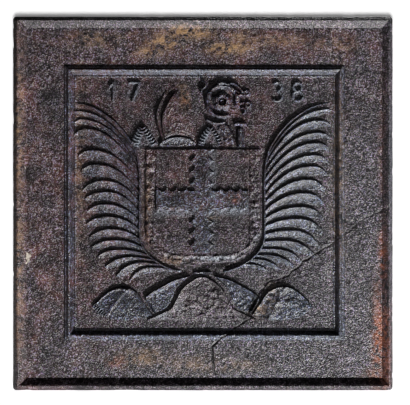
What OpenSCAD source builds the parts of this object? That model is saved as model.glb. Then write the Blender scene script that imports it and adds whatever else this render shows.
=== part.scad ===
// Cast-iron fireback with a heraldic relief.
// Millimetres, +Z up, front face towards -Y, origin under the middle of the plate.
// The ornament is laid out on a board plane: x to the right, y up, z out of the panel.

/* [Plate] */
// Width of the whole plate
plate_w = 660; // [648:1:760]
// Height of the whole plate
plate_h = 650; // [640:1:760]
// Thickness of the plate at the flat border
plate_t = 18; // [12:0.5:30]
// Radius of the four outer corners, seen from the front
corner_r = 8; // [3:0.5:14]
// How far the panel lies below the flat border
panel_sink = 3; // [1:0.5:6]

/* [Outer rim] */
// Width of the left length of the rim
rim_left_w = 24; // [15:0.5:28]
// Width of the right length of the rim
rim_right_w = 18; // [15:0.5:24]
// Width of the top length of the rim
rim_top_w = 20; // [15:0.5:24]
// Width of the bottom length of the rim
rim_bottom_w = 22; // [15:0.5:26]
// Height of the rim's crest above the flat border
rim_rise = 11; // [7:0.5:16]

/* [Border and bead] */
// Width of the flat border between the rim and the bead
border_w = 62; // [40:1:66]
// Width of the moulded bead round the panel
bead_w = 24; // [14:0.5:26]
// Height of the bead's crest above the flat border
bead_rise = 7; // [3:0.5:9]

/* [Shield] */
// How far the arms stand left of the panel's middle
arms_shift = 4; // [0:0.5:6]
// Width of the shield
shield_w = 207; // [190:1:214]
// Height of the shield from its flat top to the point of its round foot
shield_h = 210; // [190:1:214]
// Height of the shield's round foot
shield_foot_h = 60; // [40:1:80]
// Height of the shield's top edge above the middle of the panel
shield_top = 95; // [92:1:98]
// Width of the raised border at the shield's sides
bordure_w = 22; // [12:0.5:28]
// Height of the rolled lip at the shield's foot
shield_lip = 26; // [12:0.5:34]
// Height of the shield's field above the panel
field_rise = 4; // [2:0.5:6]
// Height of the shield's raised border above its field
bordure_rise = 3; // [1:0.5:4]

/* [Scalloped cross] */
// Width of the cross's upright bar
cross_post_w = 31; // [24:1:40]
// Width of the cross's level bar
cross_beam_w = 38; // [28:1:46]
// Height of the middle of the level bar above the middle of the panel
cross_y = 4; // [-6:1:12]
// Distance from one scallop to the next
scallop_pitch = 18; // [15:0.5:24]
// Radius of one scallop
scallop_r = 6.5; // [4:0.25:7]
// Height of the cross above the shield's field
cross_rise = 3; // [1:0.5:4]

/* [Mitre and lappets] */
// Width of the mitre at its widest
mitre_w = 76; // [60:1:80]
// Distance from the mitre's middle to the middle of the arms
mitre_x = 43; // [42:0.5:46]
// How far the mitre's back horn shows beside its front horn
mitre_back_w = 12; // [6:0.5:14]
// Height of the front horn above the panel
mitre_rise = 8; // [4:0.5:9]
// Height of the rolled band under the mitre
mitre_band_h = 19; // [12:0.5:24]
// How far the rolled band stands out of the panel
mitre_band_rise = 9; // [5:0.5:10]
// Height of the fringed lappet end on the left
lappet_h = 36; // [26:1:44]
// Clear space between the right lappet end and the curl of the crozier above it
curl_gap = 4.5; // [2:0.5:10]
// Height of the lappet ends above the panel
lappet_rise = 5; // [3:0.5:8]

/* [Crozier] */
// Outer radius of the crook's scroll
crook_r = 35; // [28:0.5:37]
// Width of the crook's bar at its thickest
crook_bar = 15; // [9:0.5:17]
// Distance from the middle of the arms to the crook's centre
crook_x = 33; // [32:0.5:36]
// Radius of the leaf buds on the outside of the crook
leaf_bud_r = 6; // [4:0.25:7]
// Radius of the flower in the crook
boss_r = 12; // [8:0.5:13]
// Distance from the middle of the arms to the middle of the staff
staff_x = 66; // [60:0.5:70]
// Width of the staff
staff_w = 15; // [9:0.5:17]
// Width of the knop at the top of the staff
knop_w = 25; // [22:0.5:30]
// Height of the knop
knop_h = 12; // [7:0.5:14]
// Height of the crozier above the panel
crozier_rise = 8; // [4:0.5:9]

/* [Palms] */
// Width of the palm's stem at its thickest
stem_w = 6; // [4:0.25:7]
// Height of the stem above the panel
stem_rise = 7; // [5:0.5:9]
// Clear space between the stem and the shield's straight side
stem_gap = 2; // [1:0.25:3]
// How much further the stem swings out under the shield's round foot
stem_sag = 4; // [0:0.5:6]
// Height of the leaves above the panel
leaf_rise = 6; // [3:0.5:9]
// Clear space between the palms' tips and the side of the panel
palm_side_gap = 0.5; // [0.3:0.1:4]
// Clear space between the palms' top and the head of the panel
palm_head_gap = 40; // [36:1:46]

/* [Ribbon] */
// Height of the ribbon above the panel
ribbon_rise = 5; // [3:0.5:8]
// Width of the knot
knot_w = 36; // [28:1:37]
// Height of the knot as seen from the front
knot_h = 10; // [8:0.5:12]
// How far the knot stands out of the panel
knot_rise = 8; // [4:0.5:9]
// Clear space under the tied stems, down to the foot of the panel
tassel_gap = 12; // [6:0.5:16]

/* [Numerals] */
// Height of the four numerals
numeral_h = 38; // [30:1:39]
// Width of the stroke that draws them
numeral_stroke = 6; // [4:0.25:7]
// Height of the numerals above the panel
numeral_rise = 4; // [2:0.5:6]
// Distance from the middle of the arms to the middle of the left pair of numerals
numeral_left_x = 136; // [132:1:140]
// Distance from the middle of the arms to the middle of the right pair of numerals
numeral_right_x = 148; // [142:1:152]
// Distance between the two numerals of a pair
numeral_step = 36; // [32:1:40]
// Clear space between the numerals and the head of the panel
numeral_gap = 6; // [4:0.5:8]

/* [Fit] */
// Clear space between pieces of the ornament that lie side by side
gap = 1; // [0.6:0.1:1.5]

/* [Hidden] */

$fn = 48;
iron = "#474447";
worn = "#5c5552";
rust = "#6b4433";

depth = plate_t + rim_rise;
back_y = depth / 2;
panel_level = plate_t - panel_sink;
field_level = panel_level + field_rise;

// Inner size of the rim and of the bead, and the middle of the panel
inset_left = rim_left_w + border_w + bead_w;
inset_right = rim_right_w + border_w + bead_w;
inset_top = rim_top_w + border_w + bead_w;
inset_bottom = rim_bottom_w + border_w + bead_w;
panel_w = plate_w - inset_left - inset_right;
panel_h = plate_h - inset_top - inset_bottom;
panel_x = (inset_left - inset_right) / 2;
panel_z = inset_bottom + panel_h / 2;
panel_head = panel_h / 2;

// Places that the ornament hangs from, in board coordinates
shield_foot = shield_top - shield_h;
knot_y = shield_foot - gap - knot_h / 2;
stem_x = shield_w / 2 + stem_gap + stem_w / 2;
palm_reach = panel_w / 2 - arms_shift - palm_side_gap;
palm_head = panel_head - palm_head_gap;
crown_foot = shield_top + gap;
mitre_tip = panel_head - 2 * gap;
crook_y = panel_head - 4 * gap - crook_r;
knop_y = crook_y - crook_r - gap - knop_h / 2;

// Leaves sit round the crook at a reach from its centre; one of them, the curl, hangs
// over the right lappet
leaf_reach = crook_r + leaf_bud_r + gap;
bud_angles = [-28, 2, 32];
curl_angle = 236;
curl_r = 1.4 * leaf_bud_r;
curl_foot = crook_y + leaf_reach * sin(curl_angle) - curl_r;

// Share of the way from one leaf's upper edge to the next that the leaf itself fills
leaf_fill = 0.86;

// Stands the board plane up on the plate, at a height above the plate's back
module board(level, x = 0) {
    translate([panel_x - arms_shift + x, back_y - level, panel_z])
        rotate([90, 0, 0]) children();
}

// A smooth line through the points p, n steps from one to the next
function smooth(p, n = 5) =
    let (q = concat([2 * p[0] - p[1]], p, [2 * p[len(p) - 1] - p[len(p) - 2]]))
    concat(
        [for (i = [1:len(p) - 1], s = [0:n - 1]) let (t = s / n)
            (2 * q[i] + (q[i + 1] - q[i - 1]) * t
            + (2 * q[i - 1] - 5 * q[i] + 4 * q[i + 1] - q[i + 2]) * t * t
            + (3 * q[i] - q[i - 1] - 3 * q[i + 1] + q[i + 2]) * t * t * t) / 2],
        [p[len(p) - 1]]);

function flip(p) = [for (i = [len(p) - 1:-1:0]) p[i]];
function unit(v) = v / norm(v);
function side(p, i) =
    let (d = unit(p[min(i + 1, len(p) - 1)] - p[max(i - 1, 0)])) [-d.y, d.x];

// Outline of a bar that follows the line p and is w(t) wide, t from 0 to 1
function bar(p, w) = let (m = len(p) - 1) concat(
    [for (i = [0:m]) p[i] + side(p, i) * w(i / m) / 2],
    [for (i = [m:-1:0]) p[i] - side(p, i) * w(i / m) / 2]);

// ---- plate, rim and bead ----

// Front outline of the plate, with its round corners
module outline() {
    r = corner_r;
    difference() {
        translate([-plate_w / 2, 0]) square([plate_w, plate_h]);
        for (sx = [-1, 1], top = [0, 1])
            translate([sx * plate_w / 2, top * plate_h]) difference() {
                square(2 * r, center = true);
                translate([-sx * r, (1 - 2 * top) * r]) circle(r);
            }
    }
}

module plate() {
    color(iron) translate([0, back_y, 0]) rotate([90, 0, 0]) difference() {
        linear_extrude(plate_t) outline();
        translate([panel_x - panel_w / 2, inset_bottom, panel_level])
            cube([panel_w, panel_h, panel_sink + 1]);
    }
}

// Section of the rim: x across it from its outer edge, y above the border
function rim_section(w) = [
    [0, 0], [0.04 * w, 0.35 * rim_rise], [0.16 * w, 0.8 * rim_rise], [0.3 * w, rim_rise],
    [0.42 * w, 0.97 * rim_rise], [0.56 * w, 0.78 * rim_rise], [0.84 * w, 0.2 * rim_rise], [w, 0]
];

// Section of the bead: its steep side faces out, a small quirk follows the crest
function bead_section(w) = [
    [0, 0], [0.1 * w, 0.7 * bead_rise], [0.2 * w, bead_rise], [0.32 * w, bead_rise],
    [0.44 * w, 0.75 * bead_rise], [0.5 * w, 0.8 * bead_rise], [0.8 * w, 0.35 * bead_rise], [w, 0]
];

// One mitred length of moulding on the border: the section lies from edge a to
// edge b, both given as [left, bottom, right, top] insets from the plate's outline
module moulding(dir, section, a, b) {
    big = plate_w + plate_h;
    frame = function(e) [
        [-plate_w / 2 + e[0], e[1]], [plate_w / 2 - e[2], e[1]],
        [plate_w / 2 - e[2], plate_h - e[3]], [-plate_w / 2 + e[0], plate_h - e[3]]
    ];
    outer = frame(a);
    inner = frame(b);
    next = (dir + 1) % 4;
    start = [[0, a[1]], [plate_w / 2 - a[2], 0], [0, plate_h - a[3]], [-plate_w / 2 + a[0], 0]][dir];
    translate([0, back_y - plate_t, 0]) rotate([90, 0, 0]) intersection() {
        translate([start.x, start.y, 0]) rotate([0, 0, 90 * dir]) rotate([90, 0, 90])
            translate([0, 0, -big / 2]) linear_extrude(big) polygon(section);
        linear_extrude(rim_rise + bead_rise) intersection() {
            polygon([outer[dir], outer[next], inner[next], inner[dir]]);
            outline();
        }
    }
}

rim_edge = [0, 0, 0, 0];
rim_inner = [rim_left_w, rim_bottom_w, rim_right_w, rim_top_w];
bead_edge = [for (w = rim_inner) w + border_w];
bead_inner = [for (w = bead_edge) w + bead_w];

module rim(dir) {
    color(rust) moulding(dir, rim_section(rim_inner[[1, 2, 3, 0][dir]]), rim_edge, rim_inner);
}
module rim_bottom() { rim(0); }
module rim_right() { rim(1); }
module rim_top() { rim(2); }
module rim_left() { rim(3); }

module bead(dir) {
    color(worn) moulding(dir, bead_section(bead_w), bead_edge, bead_inner);
}
module bead_bottom() { bead(0); }
module bead_right() { bead(1); }
module bead_top() { bead(2); }
module bead_left() { bead(3); }

// ---- shield ----

// Outline of the shield, drawn in by w at its sides and lip at its foot
function shield_line(w, lip) =
    let (half = shield_w / 2 - w, foot = shield_foot_h - lip + w, base = shield_foot + shield_foot_h + w)
    concat([[half, shield_top], [-half, shield_top]],
        [for (i = [0:24]) let (t = 180 + 7.5 * i) [half * cos(t), base + foot * sin(t)]]);

module shield() {
    color(iron) {
        board(panel_level) linear_extrude(field_rise) polygon(shield_line(0, 0));
        board(field_level) linear_extrude(bordure_rise) difference() {
            polygon(shield_line(0, 0));
            polygon(shield_line(bordure_w, shield_lip));
            translate([-shield_w / 2 + bordure_w, shield_top - 1])
                square([shield_w - 2 * bordure_w, 2]);
        }
    }
}

// One bar of the cross along x, from -a to b, with scallops down both its edges
module scalloped_bar(a, b, w) {
    translate([-a, -w / 2]) square([a + b, w]);
    for (end = [-a, b]) {
        dir = sign(end);
        count = floor((abs(end) - cross_post_w / 2 - scallop_r) / scallop_pitch);
        for (i = [0:count - 1], sy = [-1, 1])
            translate([end - dir * (scallop_r + scallop_pitch * i), sy * (w / 2 - 1)])
                circle(scallop_r);
    }
}

module shield_cross() {
    half = shield_w / 2 - bordure_w - gap;
    head = shield_top - gap;
    foot = shield_foot + shield_lip + 2 * gap;
    color(worn) board(field_level) linear_extrude(cross_rise) {
        translate([0, cross_y]) scalloped_bar(half, half, cross_beam_w);
        translate([0, cross_y]) rotate(90) scalloped_bar(cross_y - foot, head - cross_y, cross_post_w);
    }
}

// ---- mitre ----

// Front horn of the mitre as shares of its width and height, from its left foot
mitre_line = smooth([[0.08, 0], [0.02, 0.28], [0.08, 0.5], [0.24, 0.74], [0.45, 1]], 6);
mitre_fall = smooth([[0.45, 1], [0.7, 0.8], [0.92, 0.5], [0.98, 0.26], [0.9, 0]], 6);
mitre_foot = crown_foot + mitre_band_h * 0.6;
mitre_h = mitre_tip - mitre_foot;

function mitre_at(p) = [(p.x - 0.5) * mitre_w, mitre_foot + p.y * mitre_h];

module mitre_band_line() {
    half = mitre_w * 0.44;
    intersection() {
        translate([-half, crown_foot]) square([2 * half, mitre_band_h]);
        translate([0, crown_foot + mitre_band_h - mitre_w * 0.75]) circle(mitre_w * 0.75, $fn = 96);
    }
}

module mitre_front() {
    color(iron) board(panel_level, -mitre_x) linear_extrude(mitre_rise) difference() {
        polygon([for (p = concat(mitre_line, mitre_fall)) mitre_at(p)]);
        mitre_band_line();
    }
}

// The back horn follows the front one, further out towards its tip
module mitre_back() {
    edge = [for (p = mitre_line) mitre_at(p) - [mitre_back_w * (0.35 + 0.65 * p.y), 0]];
    color(rust) board(panel_level, -mitre_x) linear_extrude(mitre_rise * 0.6) difference() {
        polygon(concat(edge, [mitre_at([0.45, 0.97]), mitre_at([0.45, 0])]));
        for (dx = [-gap, 0])
            translate([dx, 0]) polygon([for (p = concat(mitre_line, mitre_fall)) mitre_at(p)]);
        translate([-mitre_w, 0]) square([2 * mitre_w, crown_foot + mitre_band_h + gap]);
    }
}

module mitre_band() {
    color(worn) board(panel_level, -mitre_x) linear_extrude(mitre_band_rise) mitre_band_line();
}

// The two fringed ends of the mitre's lappets; the left one fills the space between
// the mitre and the palm's stem, the right one the space under the crozier's curl
lappet_w = stem_x - mitre_x - mitre_w / 2 - 2 * gap;
lappet_right_h = curl_foot - curl_gap - crown_foot;

module lappet_left() {
    x = -mitre_x - mitre_w / 2 - gap - lappet_w;
    color(worn) board(panel_level, x) linear_extrude(lappet_rise) translate([0, crown_foot])
        polygon(smooth([[0, 0], [0.2 * lappet_w, 0.5 * lappet_h], [0.45 * lappet_w, lappet_h],
            [0.75 * lappet_w, 0.72 * lappet_h], [0.9 * lappet_w, 0.3 * lappet_h], [lappet_w, 0]], 4));
}

module lappet_right() {
    x = -mitre_x + mitre_w / 2 + gap;
    color(worn) board(panel_level, x) linear_extrude(lappet_rise) translate([0, crown_foot])
        polygon([[0, 0], [0.15 * lappet_w, 0.93 * lappet_right_h], [0.5 * lappet_w, lappet_right_h],
            [0.78 * lappet_w, 0.58 * lappet_right_h], [0.85 * lappet_w, 0.23 * lappet_right_h], [lappet_w, 0]]);
}

// ---- crozier ----

// The crook: most of a turn inwards from the top of the staff
crook_from = -48;
crook_turn = 325;
crook_line = [for (i = [0:40])
    let (t = i / 40, a = crook_from + crook_turn * t, r = (crook_r - crook_bar / 2) * (1 - 0.12 * t))
    [r * cos(a), crook_y + r * sin(a)]];

module crozier_crook() {
    color(worn) board(panel_level, crook_x) linear_extrude(crozier_rise)
        polygon(bar(crook_line, function(t) crook_bar * (1 - 0.4 * t)));
}

function leaf_place(a) = [leaf_reach * cos(a), crook_y + leaf_reach * sin(a)];

// Leaves that curl off the outside of the crook
module crozier_leaves() {
    color(iron) board(panel_level, crook_x) linear_extrude(crozier_rise * 0.75) {
        for (a = bud_angles) translate(leaf_place(a)) circle(leaf_bud_r);
        translate(leaf_place(curl_angle)) rotate(-20) difference() {
            circle(curl_r);
            translate([0, leaf_bud_r]) circle(curl_r);
        }
    }
}

module crozier_flower() {
    color(iron) board(panel_level, crook_x) translate([0, crook_y, 0]) rotate_extrude()
        polygon([[0, 0], [boss_r, 0], [boss_r, 0.4 * crozier_rise], [0.7 * boss_r, 0.9 * crozier_rise],
            [0.35 * boss_r, 0.8 * crozier_rise], [0.2 * boss_r, 0.4 * crozier_rise], [0, 0.4 * crozier_rise]]);
}

// The knop is a flattened ball between the crook and the staff
module crozier_knop() {
    color(worn) board(panel_level, staff_x) linear_extrude(crozier_rise) translate([0, knop_y])
        intersection() {
            square([knop_w, knop_h], center = true);
            circle(knop_w / 2);
        }
}

module crozier_staff() {
    top = knop_y - knop_h / 2 - gap;
    color(iron) board(panel_level, staff_x) translate([0, crown_foot, crozier_rise / 2])
        rotate([-90, 0, 0]) intersection() {
            cylinder(d = staff_w, h = top - crown_foot);
            translate([-staff_w / 2, -crozier_rise / 2, 0])
                cube([staff_w, crozier_rise, top - crown_foot]);
        }
}

// ---- palms ----
// A palm is drawn in its own measure: across, 0 is the stem beside the shield, 1 the
// side of the panel and -1 the middle of the arms; up, 0 is the middle of the panel,
// 1 the palm's top and -1 the knot.

function palm_at(p) = [
    p.x < 0 ? stem_x * (1 + p.x) : stem_x + p.x * (palm_reach - stem_x),
    p.y < 0 ? -p.y * knot_y : p.y * palm_head
];

// Point beside the shield's round foot, t degrees down from its straight side
function foot_at(t) = [stem_x * cos(t),
    shield_foot + shield_foot_h - (shield_foot_h + stem_x - shield_w / 2 + stem_sag) * sin(t)];

// The stem springs from the knot, swings round the shield's foot, runs up its side and
// bends outwards over the palm's top
foot_angles = [64, 48, 32, 16, 0];
stem_head = [[0, 0], [0, 0.25], [0.04, 0.46], [0.14, 0.61], [0.36, 0.79], [0.67, 0.93], [0.98, 0.99]];
stem_line = smooth(concat([palm_at([-0.8, -1])],
    [for (t = foot_angles) foot_at(t)], [for (p = stem_head) palm_at(p)]));

// Tip and crown of each leaf, from the palm's top down to the knot
left_leaves = [
    [[1, 0.9], [0.93, 0.91]], [[0.98, 0.78], [0.86, 0.83]], [[0.99, 0.65], [0.8, 0.74]],
    [[0.93, 0.45], [0.7, 0.53]], [[0.87, 0.32], [0.64, 0.39]], [[0.86, 0.12], [0.53, 0.23]],
    [[0.83, 0.04], [0.5, 0.12]], [[0.78, -0.11], [0.5, 0]], [[0.8, -0.3], [0.46, -0.18]],
    [[0.76, -0.5], [0.42, -0.36]], [[0.73, -0.64], [0.38, -0.52]], [[0.64, -0.77], [0.34, -0.66]],
    [[0.53, -0.92], [0.14, -0.77]], [[0.37, -1.06], [-0.02, -0.85]], [[0.18, -1.15], [-0.16, -0.92]],
    [[0.13, -1.18], [-0.26, -1.01]]
];
right_leaves = [
    [[0.99, 0.92], [0.93, 0.93]], [[0.99, 0.76], [0.8, 0.82]], [[0.99, 0.64], [0.79, 0.7]],
    [[0.96, 0.53], [0.77, 0.6]], [[0.96, 0.39], [0.75, 0.48]], [[0.93, 0.29], [0.7, 0.37]],
    [[0.9, 0.14], [0.64, 0.24]], [[0.88, -0.01], [0.6, 0.11]], [[0.88, -0.22], [0.54, -0.04]],
    [[0.87, -0.41], [0.5, -0.21]], [[0.83, -0.63], [0.42, -0.38]], [[0.78, -0.78], [0.3, -0.53]],
    [[0.58, -0.86], [0.16, -0.65]], [[0.47, -0.93], [0.02, -0.74]], [[0.25, -0.96], [-0.16, -0.8]],
    [[0.08, -0.98], [-0.27, -0.87]], [[0.03, -1.03], [-0.33, -0.94]]
];

// Point on the stem at a share of the way from the knot to where the last leaf springs
stem_way = [for (i = 0, s = 0; i < len(stem_line);
    s = s + norm(stem_line[min(i + 1, len(stem_line) - 1)] - stem_line[i]), i = i + 1) s];
stem_xs = [for (i = [0:len(stem_line) - 1]) [stem_way[i], stem_line[i].x]];
stem_ys = [for (i = [0:len(stem_line) - 1]) [stem_way[i], stem_line[i].y]];
spring_end = lookup(palm_at([0, 0.46]).y, [for (i = [0:len(stem_line) - 1]) [stem_line[i].y, stem_way[i]]]);
function on_stem(t) = [lookup(t * spring_end, stem_xs), lookup(t * spring_end, stem_ys)];

function curve(a, b, c, n) = [for (i = [0:n]) let (t = i / n)
    (1 - t) * (1 - t) * a + 2 * t * (1 - t) * b + t * t * c];

// Upper edge of a leaf: from its tip up to its crown, then down to its root on the stem
function leaf_edge(row, root) =
    let (tip = palm_at(row[0]), crown = palm_at(row[1]))
    concat(curve(tip, [tip.x + 0.35 * (crown.x - tip.x), crown.y], crown, 3),
        [for (p = curve(crown, [crown.x + 0.55 * (root.x - crown.x), crown.y], root, 6)) if (p != crown) p]);

// A leaf is a shingle: it stands steep at its upper edge and falls towards the next leaf
module leaf(upper, next) {
    m = len(upper) - 1;
    lower = [for (k = [0:m]) upper[k] + (next[k] - upper[k]) * leaf_fill * min(1, 0.3 + 2.5 * k / m)];
    rise = [for (k = [0:m]) leaf_rise * min(1, 0.6 + 1.5 * k / m)];
    polyhedron(
        points = [for (k = [0:m]) each [
            [upper[k].x, upper[k].y, 0],
            [upper[k].x * 0.88 + lower[k].x * 0.12, upper[k].y * 0.88 + lower[k].y * 0.12, rise[k]],
            [lower[k].x, lower[k].y, rise[k] * 0.3],
            [lower[k].x, lower[k].y, 0]]],
        faces = [
            [0, 2, 1], [0, 3, 2],
            for (k = [0:m - 1], s = [0:3]) let (a = 4 * k + s, b = 4 * k + (s + 1) % 4) each
                [[a, b + 4, a + 4], [a, b, b + 4]],
            [4 * m, 4 * m + 1, 4 * m + 2], [4 * m, 4 * m + 2, 4 * m + 3]]);
}

// A whole palm; its lowest leaf springs at the share last of the way up from the knot
module palm(rows, last) {
    n = len(rows) - 1;
    edges = [for (i = [0:n]) leaf_edge(rows[i], on_stem(last + (1 - last) * (1 - i / n)))];
    for (i = [0:n - 1]) leaf(edges[i], edges[i + 1]);
    linear_extrude(stem_rise) polygon(bar(stem_line, function(t) stem_w * min(1, 0.3 + 4 * (1 - t))));
}

module palm_left() {
    color(iron) board(panel_level) mirror([1, 0, 0]) palm(left_leaves, 0.06);
}

module palm_right() {
    color(iron) board(panel_level) palm(right_leaves, 0.16);
}

// ---- knot, tied stems and ribbon ----

module knot() {
    color(worn) board(panel_level) linear_extrude(knot_rise) translate([0, knot_y])
        intersection() {
            square([knot_w, knot_h], center = true);
            circle(knot_w / 2);
        }
}

// The ribbon and the stem ends are drawn as shares of the space under the knot
ribbon_drop = knot_y + panel_head - tassel_gap;
function ribbon_at(p) = [p.x * palm_reach, knot_y + p.y * ribbon_drop];

// The cut ends of the two stems spread out under the knot
module stem_ends() {
    top = -(knot_h / 2 + gap) / ribbon_drop;
    edge = smooth([[0.023, top], [0.1, -0.19], [0.165, -0.34], [0.205, -0.53], [0.25, -0.74],
        [0.3, -0.81], [0.345, -0.87], [0.42, -0.96], [0.43, -1]], 3);
    color(rust) board(panel_level) linear_extrude(ribbon_rise)
        polygon([for (p = concat(edge, flip([for (q = edge) [-q.x, q.y]]))) ribbon_at(p)]);
}

// One end of the ribbon: a leaf-shaped run down from the knot, then a loop that
// swells up from its fold and comes down to its fringed end
ribbon_run = concat(
    smooth([[0.09, -0.04], [0.23, -0.15], [0.34, -0.31], [0.425, -0.46], [0.42, -0.58], [0.375, -0.84]], 4),
    smooth([[0.365, -0.84], [0.275, -0.73], [0.225, -0.53], [0.19, -0.32], [0.09, -0.08]], 4));
ribbon_loop = concat(
    smooth([[0.375, -0.86], [0.45, -0.58], [0.495, -0.4], [0.55, -0.305], [0.62, -0.26], [0.685, -0.295],
        [0.74, -0.39], [0.8, -0.53], [0.855, -0.69]], 4),
    smooth([[0.77, -0.895], [0.69, -0.965], [0.57, -0.99], [0.46, -0.95], [0.39, -0.88]], 4));

module ribbon() {
    linear_extrude(ribbon_rise) {
        polygon([for (p = ribbon_run) ribbon_at(p)]);
        polygon([for (p = ribbon_loop) ribbon_at(p)]);
    }
}

module ribbon_left() {
    color(worn) board(panel_level) mirror([1, 0, 0]) ribbon();
}

module ribbon_right() {
    color(worn) board(panel_level) ribbon();
}

// ---- numerals: a plain 1, 7, 3 and 8 ----

module stroke(a, b) {
    d = b - a;
    translate(a) rotate(atan2(d.y, d.x)) translate([0, -numeral_stroke / 2]) square([norm(d), numeral_stroke]);
    translate(a) circle(numeral_stroke / 2);
    translate(b) circle(numeral_stroke / 2);
}

module ring(y, r, open) {
    translate([0, y]) difference() {
        circle(r);
        circle(r - numeral_stroke);
        if (open) translate([-r, 0]) square(1.5 * r, center = true);
    }
}

function numeral_x(i) = (i < 2 ? -numeral_left_x : numeral_right_x) + (i % 2 - 0.5) * numeral_step;

// Stands numeral number i in its place; its own origin is the middle of its foot
module numeral(i) {
    color(worn) board(panel_level, numeral_x(i)) linear_extrude(numeral_rise)
        translate([0, panel_head - numeral_gap - numeral_h]) children();
}

// Lines of the numerals run half a stroke inside their height
low = numeral_stroke / 2;
high = numeral_h - numeral_stroke / 2;
lower_r = (numeral_h + numeral_stroke) / 3.8;
upper_r = 0.9 * lower_r;

module numeral_1() {
    numeral(0) {
        stroke([0, low], [0, high]);
        stroke([-0.18 * numeral_h, 0.72 * numeral_h], [0, high]);
    }
}

module numeral_2() {
    numeral(1) {
        stroke([-0.24 * numeral_h, high], [0.24 * numeral_h, high]);
        stroke([0.24 * numeral_h, high], [-0.1 * numeral_h, low]);
    }
}

module numeral_3() {
    numeral(2) {
        ring(lower_r, lower_r, true);
        ring(numeral_h - upper_r, upper_r, true);
    }
}

module numeral_4() {
    numeral(3) {
        ring(lower_r, lower_r, false);
        ring(numeral_h - upper_r, upper_r, false);
    }
}

plate();
rim_top();
rim_bottom();
rim_left();
rim_right();
bead_top();
bead_bottom();
bead_left();
bead_right();
shield();
shield_cross();
mitre_front();
mitre_back();
mitre_band();
lappet_left();
lappet_right();
crozier_crook();
crozier_leaves();
crozier_flower();
crozier_knop();
crozier_staff();
palm_left();
palm_right();
knot();
stem_ends();
ribbon_left();
ribbon_right();
numeral_1();
numeral_2();
numeral_3();
numeral_4();
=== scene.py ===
import bpy
import numpy as np
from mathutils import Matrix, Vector


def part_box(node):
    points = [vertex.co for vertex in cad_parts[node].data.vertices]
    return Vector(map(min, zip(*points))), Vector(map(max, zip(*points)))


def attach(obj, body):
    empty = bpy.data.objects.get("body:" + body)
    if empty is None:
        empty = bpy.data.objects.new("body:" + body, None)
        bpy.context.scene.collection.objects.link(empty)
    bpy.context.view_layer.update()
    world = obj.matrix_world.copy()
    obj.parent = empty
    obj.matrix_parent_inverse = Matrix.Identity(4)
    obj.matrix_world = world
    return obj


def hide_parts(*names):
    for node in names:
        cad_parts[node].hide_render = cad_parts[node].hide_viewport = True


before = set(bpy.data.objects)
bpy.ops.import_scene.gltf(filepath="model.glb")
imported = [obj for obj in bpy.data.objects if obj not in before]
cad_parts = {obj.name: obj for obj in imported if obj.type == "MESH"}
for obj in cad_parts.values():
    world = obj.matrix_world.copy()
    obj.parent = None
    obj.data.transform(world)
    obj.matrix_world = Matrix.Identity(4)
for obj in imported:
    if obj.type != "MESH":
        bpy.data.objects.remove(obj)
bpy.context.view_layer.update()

# ---- Slab: the body of the casting, with its flat back and its edges ----
# Grey iron poured into an open bed of sand: the back froze against the air, so it is a
# dull, lumpy skin, and the edges took the grain of the sand.

MM = 0.001


def in_mm(box):
    """The low and the high corner of a box of the frame, in mm."""
    return tuple(np.array(corner) / MM for corner in box)


plate_lo, plate_hi = in_mm(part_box("plate"))
rim_foot_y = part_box("rim_top")[1].y / MM
panel_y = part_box("shield")[1].y / MM
shield_lo, shield_hi = in_mm(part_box("shield"))
panel_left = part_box("bead_left")[1].x / MM
panel_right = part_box("bead_right")[0].x / MM
panel_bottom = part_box("bead_bottom")[1].z / MM
panel_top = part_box("bead_top")[0].z / MM

# Board plane: x from the middle of the arms, z from the middle of the panel, and h out of
# the panel towards the viewer, all in mm
arms_x = (shield_lo[0] + shield_hi[0]) / 2
panel_z = (panel_bottom + panel_top) / 2
border_h = panel_y - rim_foot_y
back_h = panel_y - plate_hi[1]
plate_left, plate_right = plate_lo[0] - arms_x, plate_hi[0] - arms_x
plate_bottom, plate_top = plate_lo[2] - panel_z, plate_hi[2] - panel_z
corner_r = 8
# The pieces of the front end in flat undersides, out of sight under the panel
sunk = -2.5


def ramp(t):
    """Smooth step: 0 up to t = 0, 1 from t = 1 on, and 3t^2 - 2t^3 between."""
    t = np.clip(t, 0, 1)
    return t * t * (3 - 2 * t)


def swell(x, z, size, seed):
    """Smooth random heights from -1 to 1: random values on a square lattice, size mm apart,
    joined by quintic weights. The lattice repeats after n points."""
    n = 97
    lattice = np.random.default_rng(seed).uniform(-1, 1, (n, n))
    u, v = x / size + 31.4, z / size + 27.2
    i, j = np.floor(u).astype(int), np.floor(v).astype(int)
    f, g = (w * w * w * (w * (w * 6 - 15) + 10) for w in (u - i, v - j))
    near = lattice[i % n, j % n] * (1 - f) + lattice[(i + 1) % n, j % n] * f
    far = lattice[i % n, (j + 1) % n] * (1 - f) + lattice[(i + 1) % n, (j + 1) % n] * f
    return near * (1 - g) + far * g


def near_line(x, z, points):
    """Distance in mm from each point of the board plane to the nearest piece of a line."""
    nearest = np.full(np.shape(x), 1e9)
    for (ax, az), (bx, bz) in zip(points[:-1], points[1:]):
        dx, dz = bx - ax, bz - az
        t = np.clip(((x - ax) * dx + (z - az) * dz) / (dx * dx + dz * dz), 0, 1)
        nearest = np.minimum(nearest, np.hypot(x - ax - t * dx, z - az - t * dz))
    return nearest


# The crack, from the plate's right edge down to the foot of the panel, and its short branch
crack = [(324, -8), (300, -20), (282, -26), (268, -36), (254, -50), (237, -62), (218, -74), (194, -92),
         (176, -103), (161, -116), (138, -131), (120, -137), (110, -142), (103, -150), (88, -178),
         (80, -190), (84, -200), (63, -214), (40, -229), (25, -241), (17, -250), (17, -266), (20, -284),
         (24, -298)]
side_crack = [(86, -230), (88, -244), (80, -253), (84, -262)]
crack_half, side_crack_half = 1.7, 1.5


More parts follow.
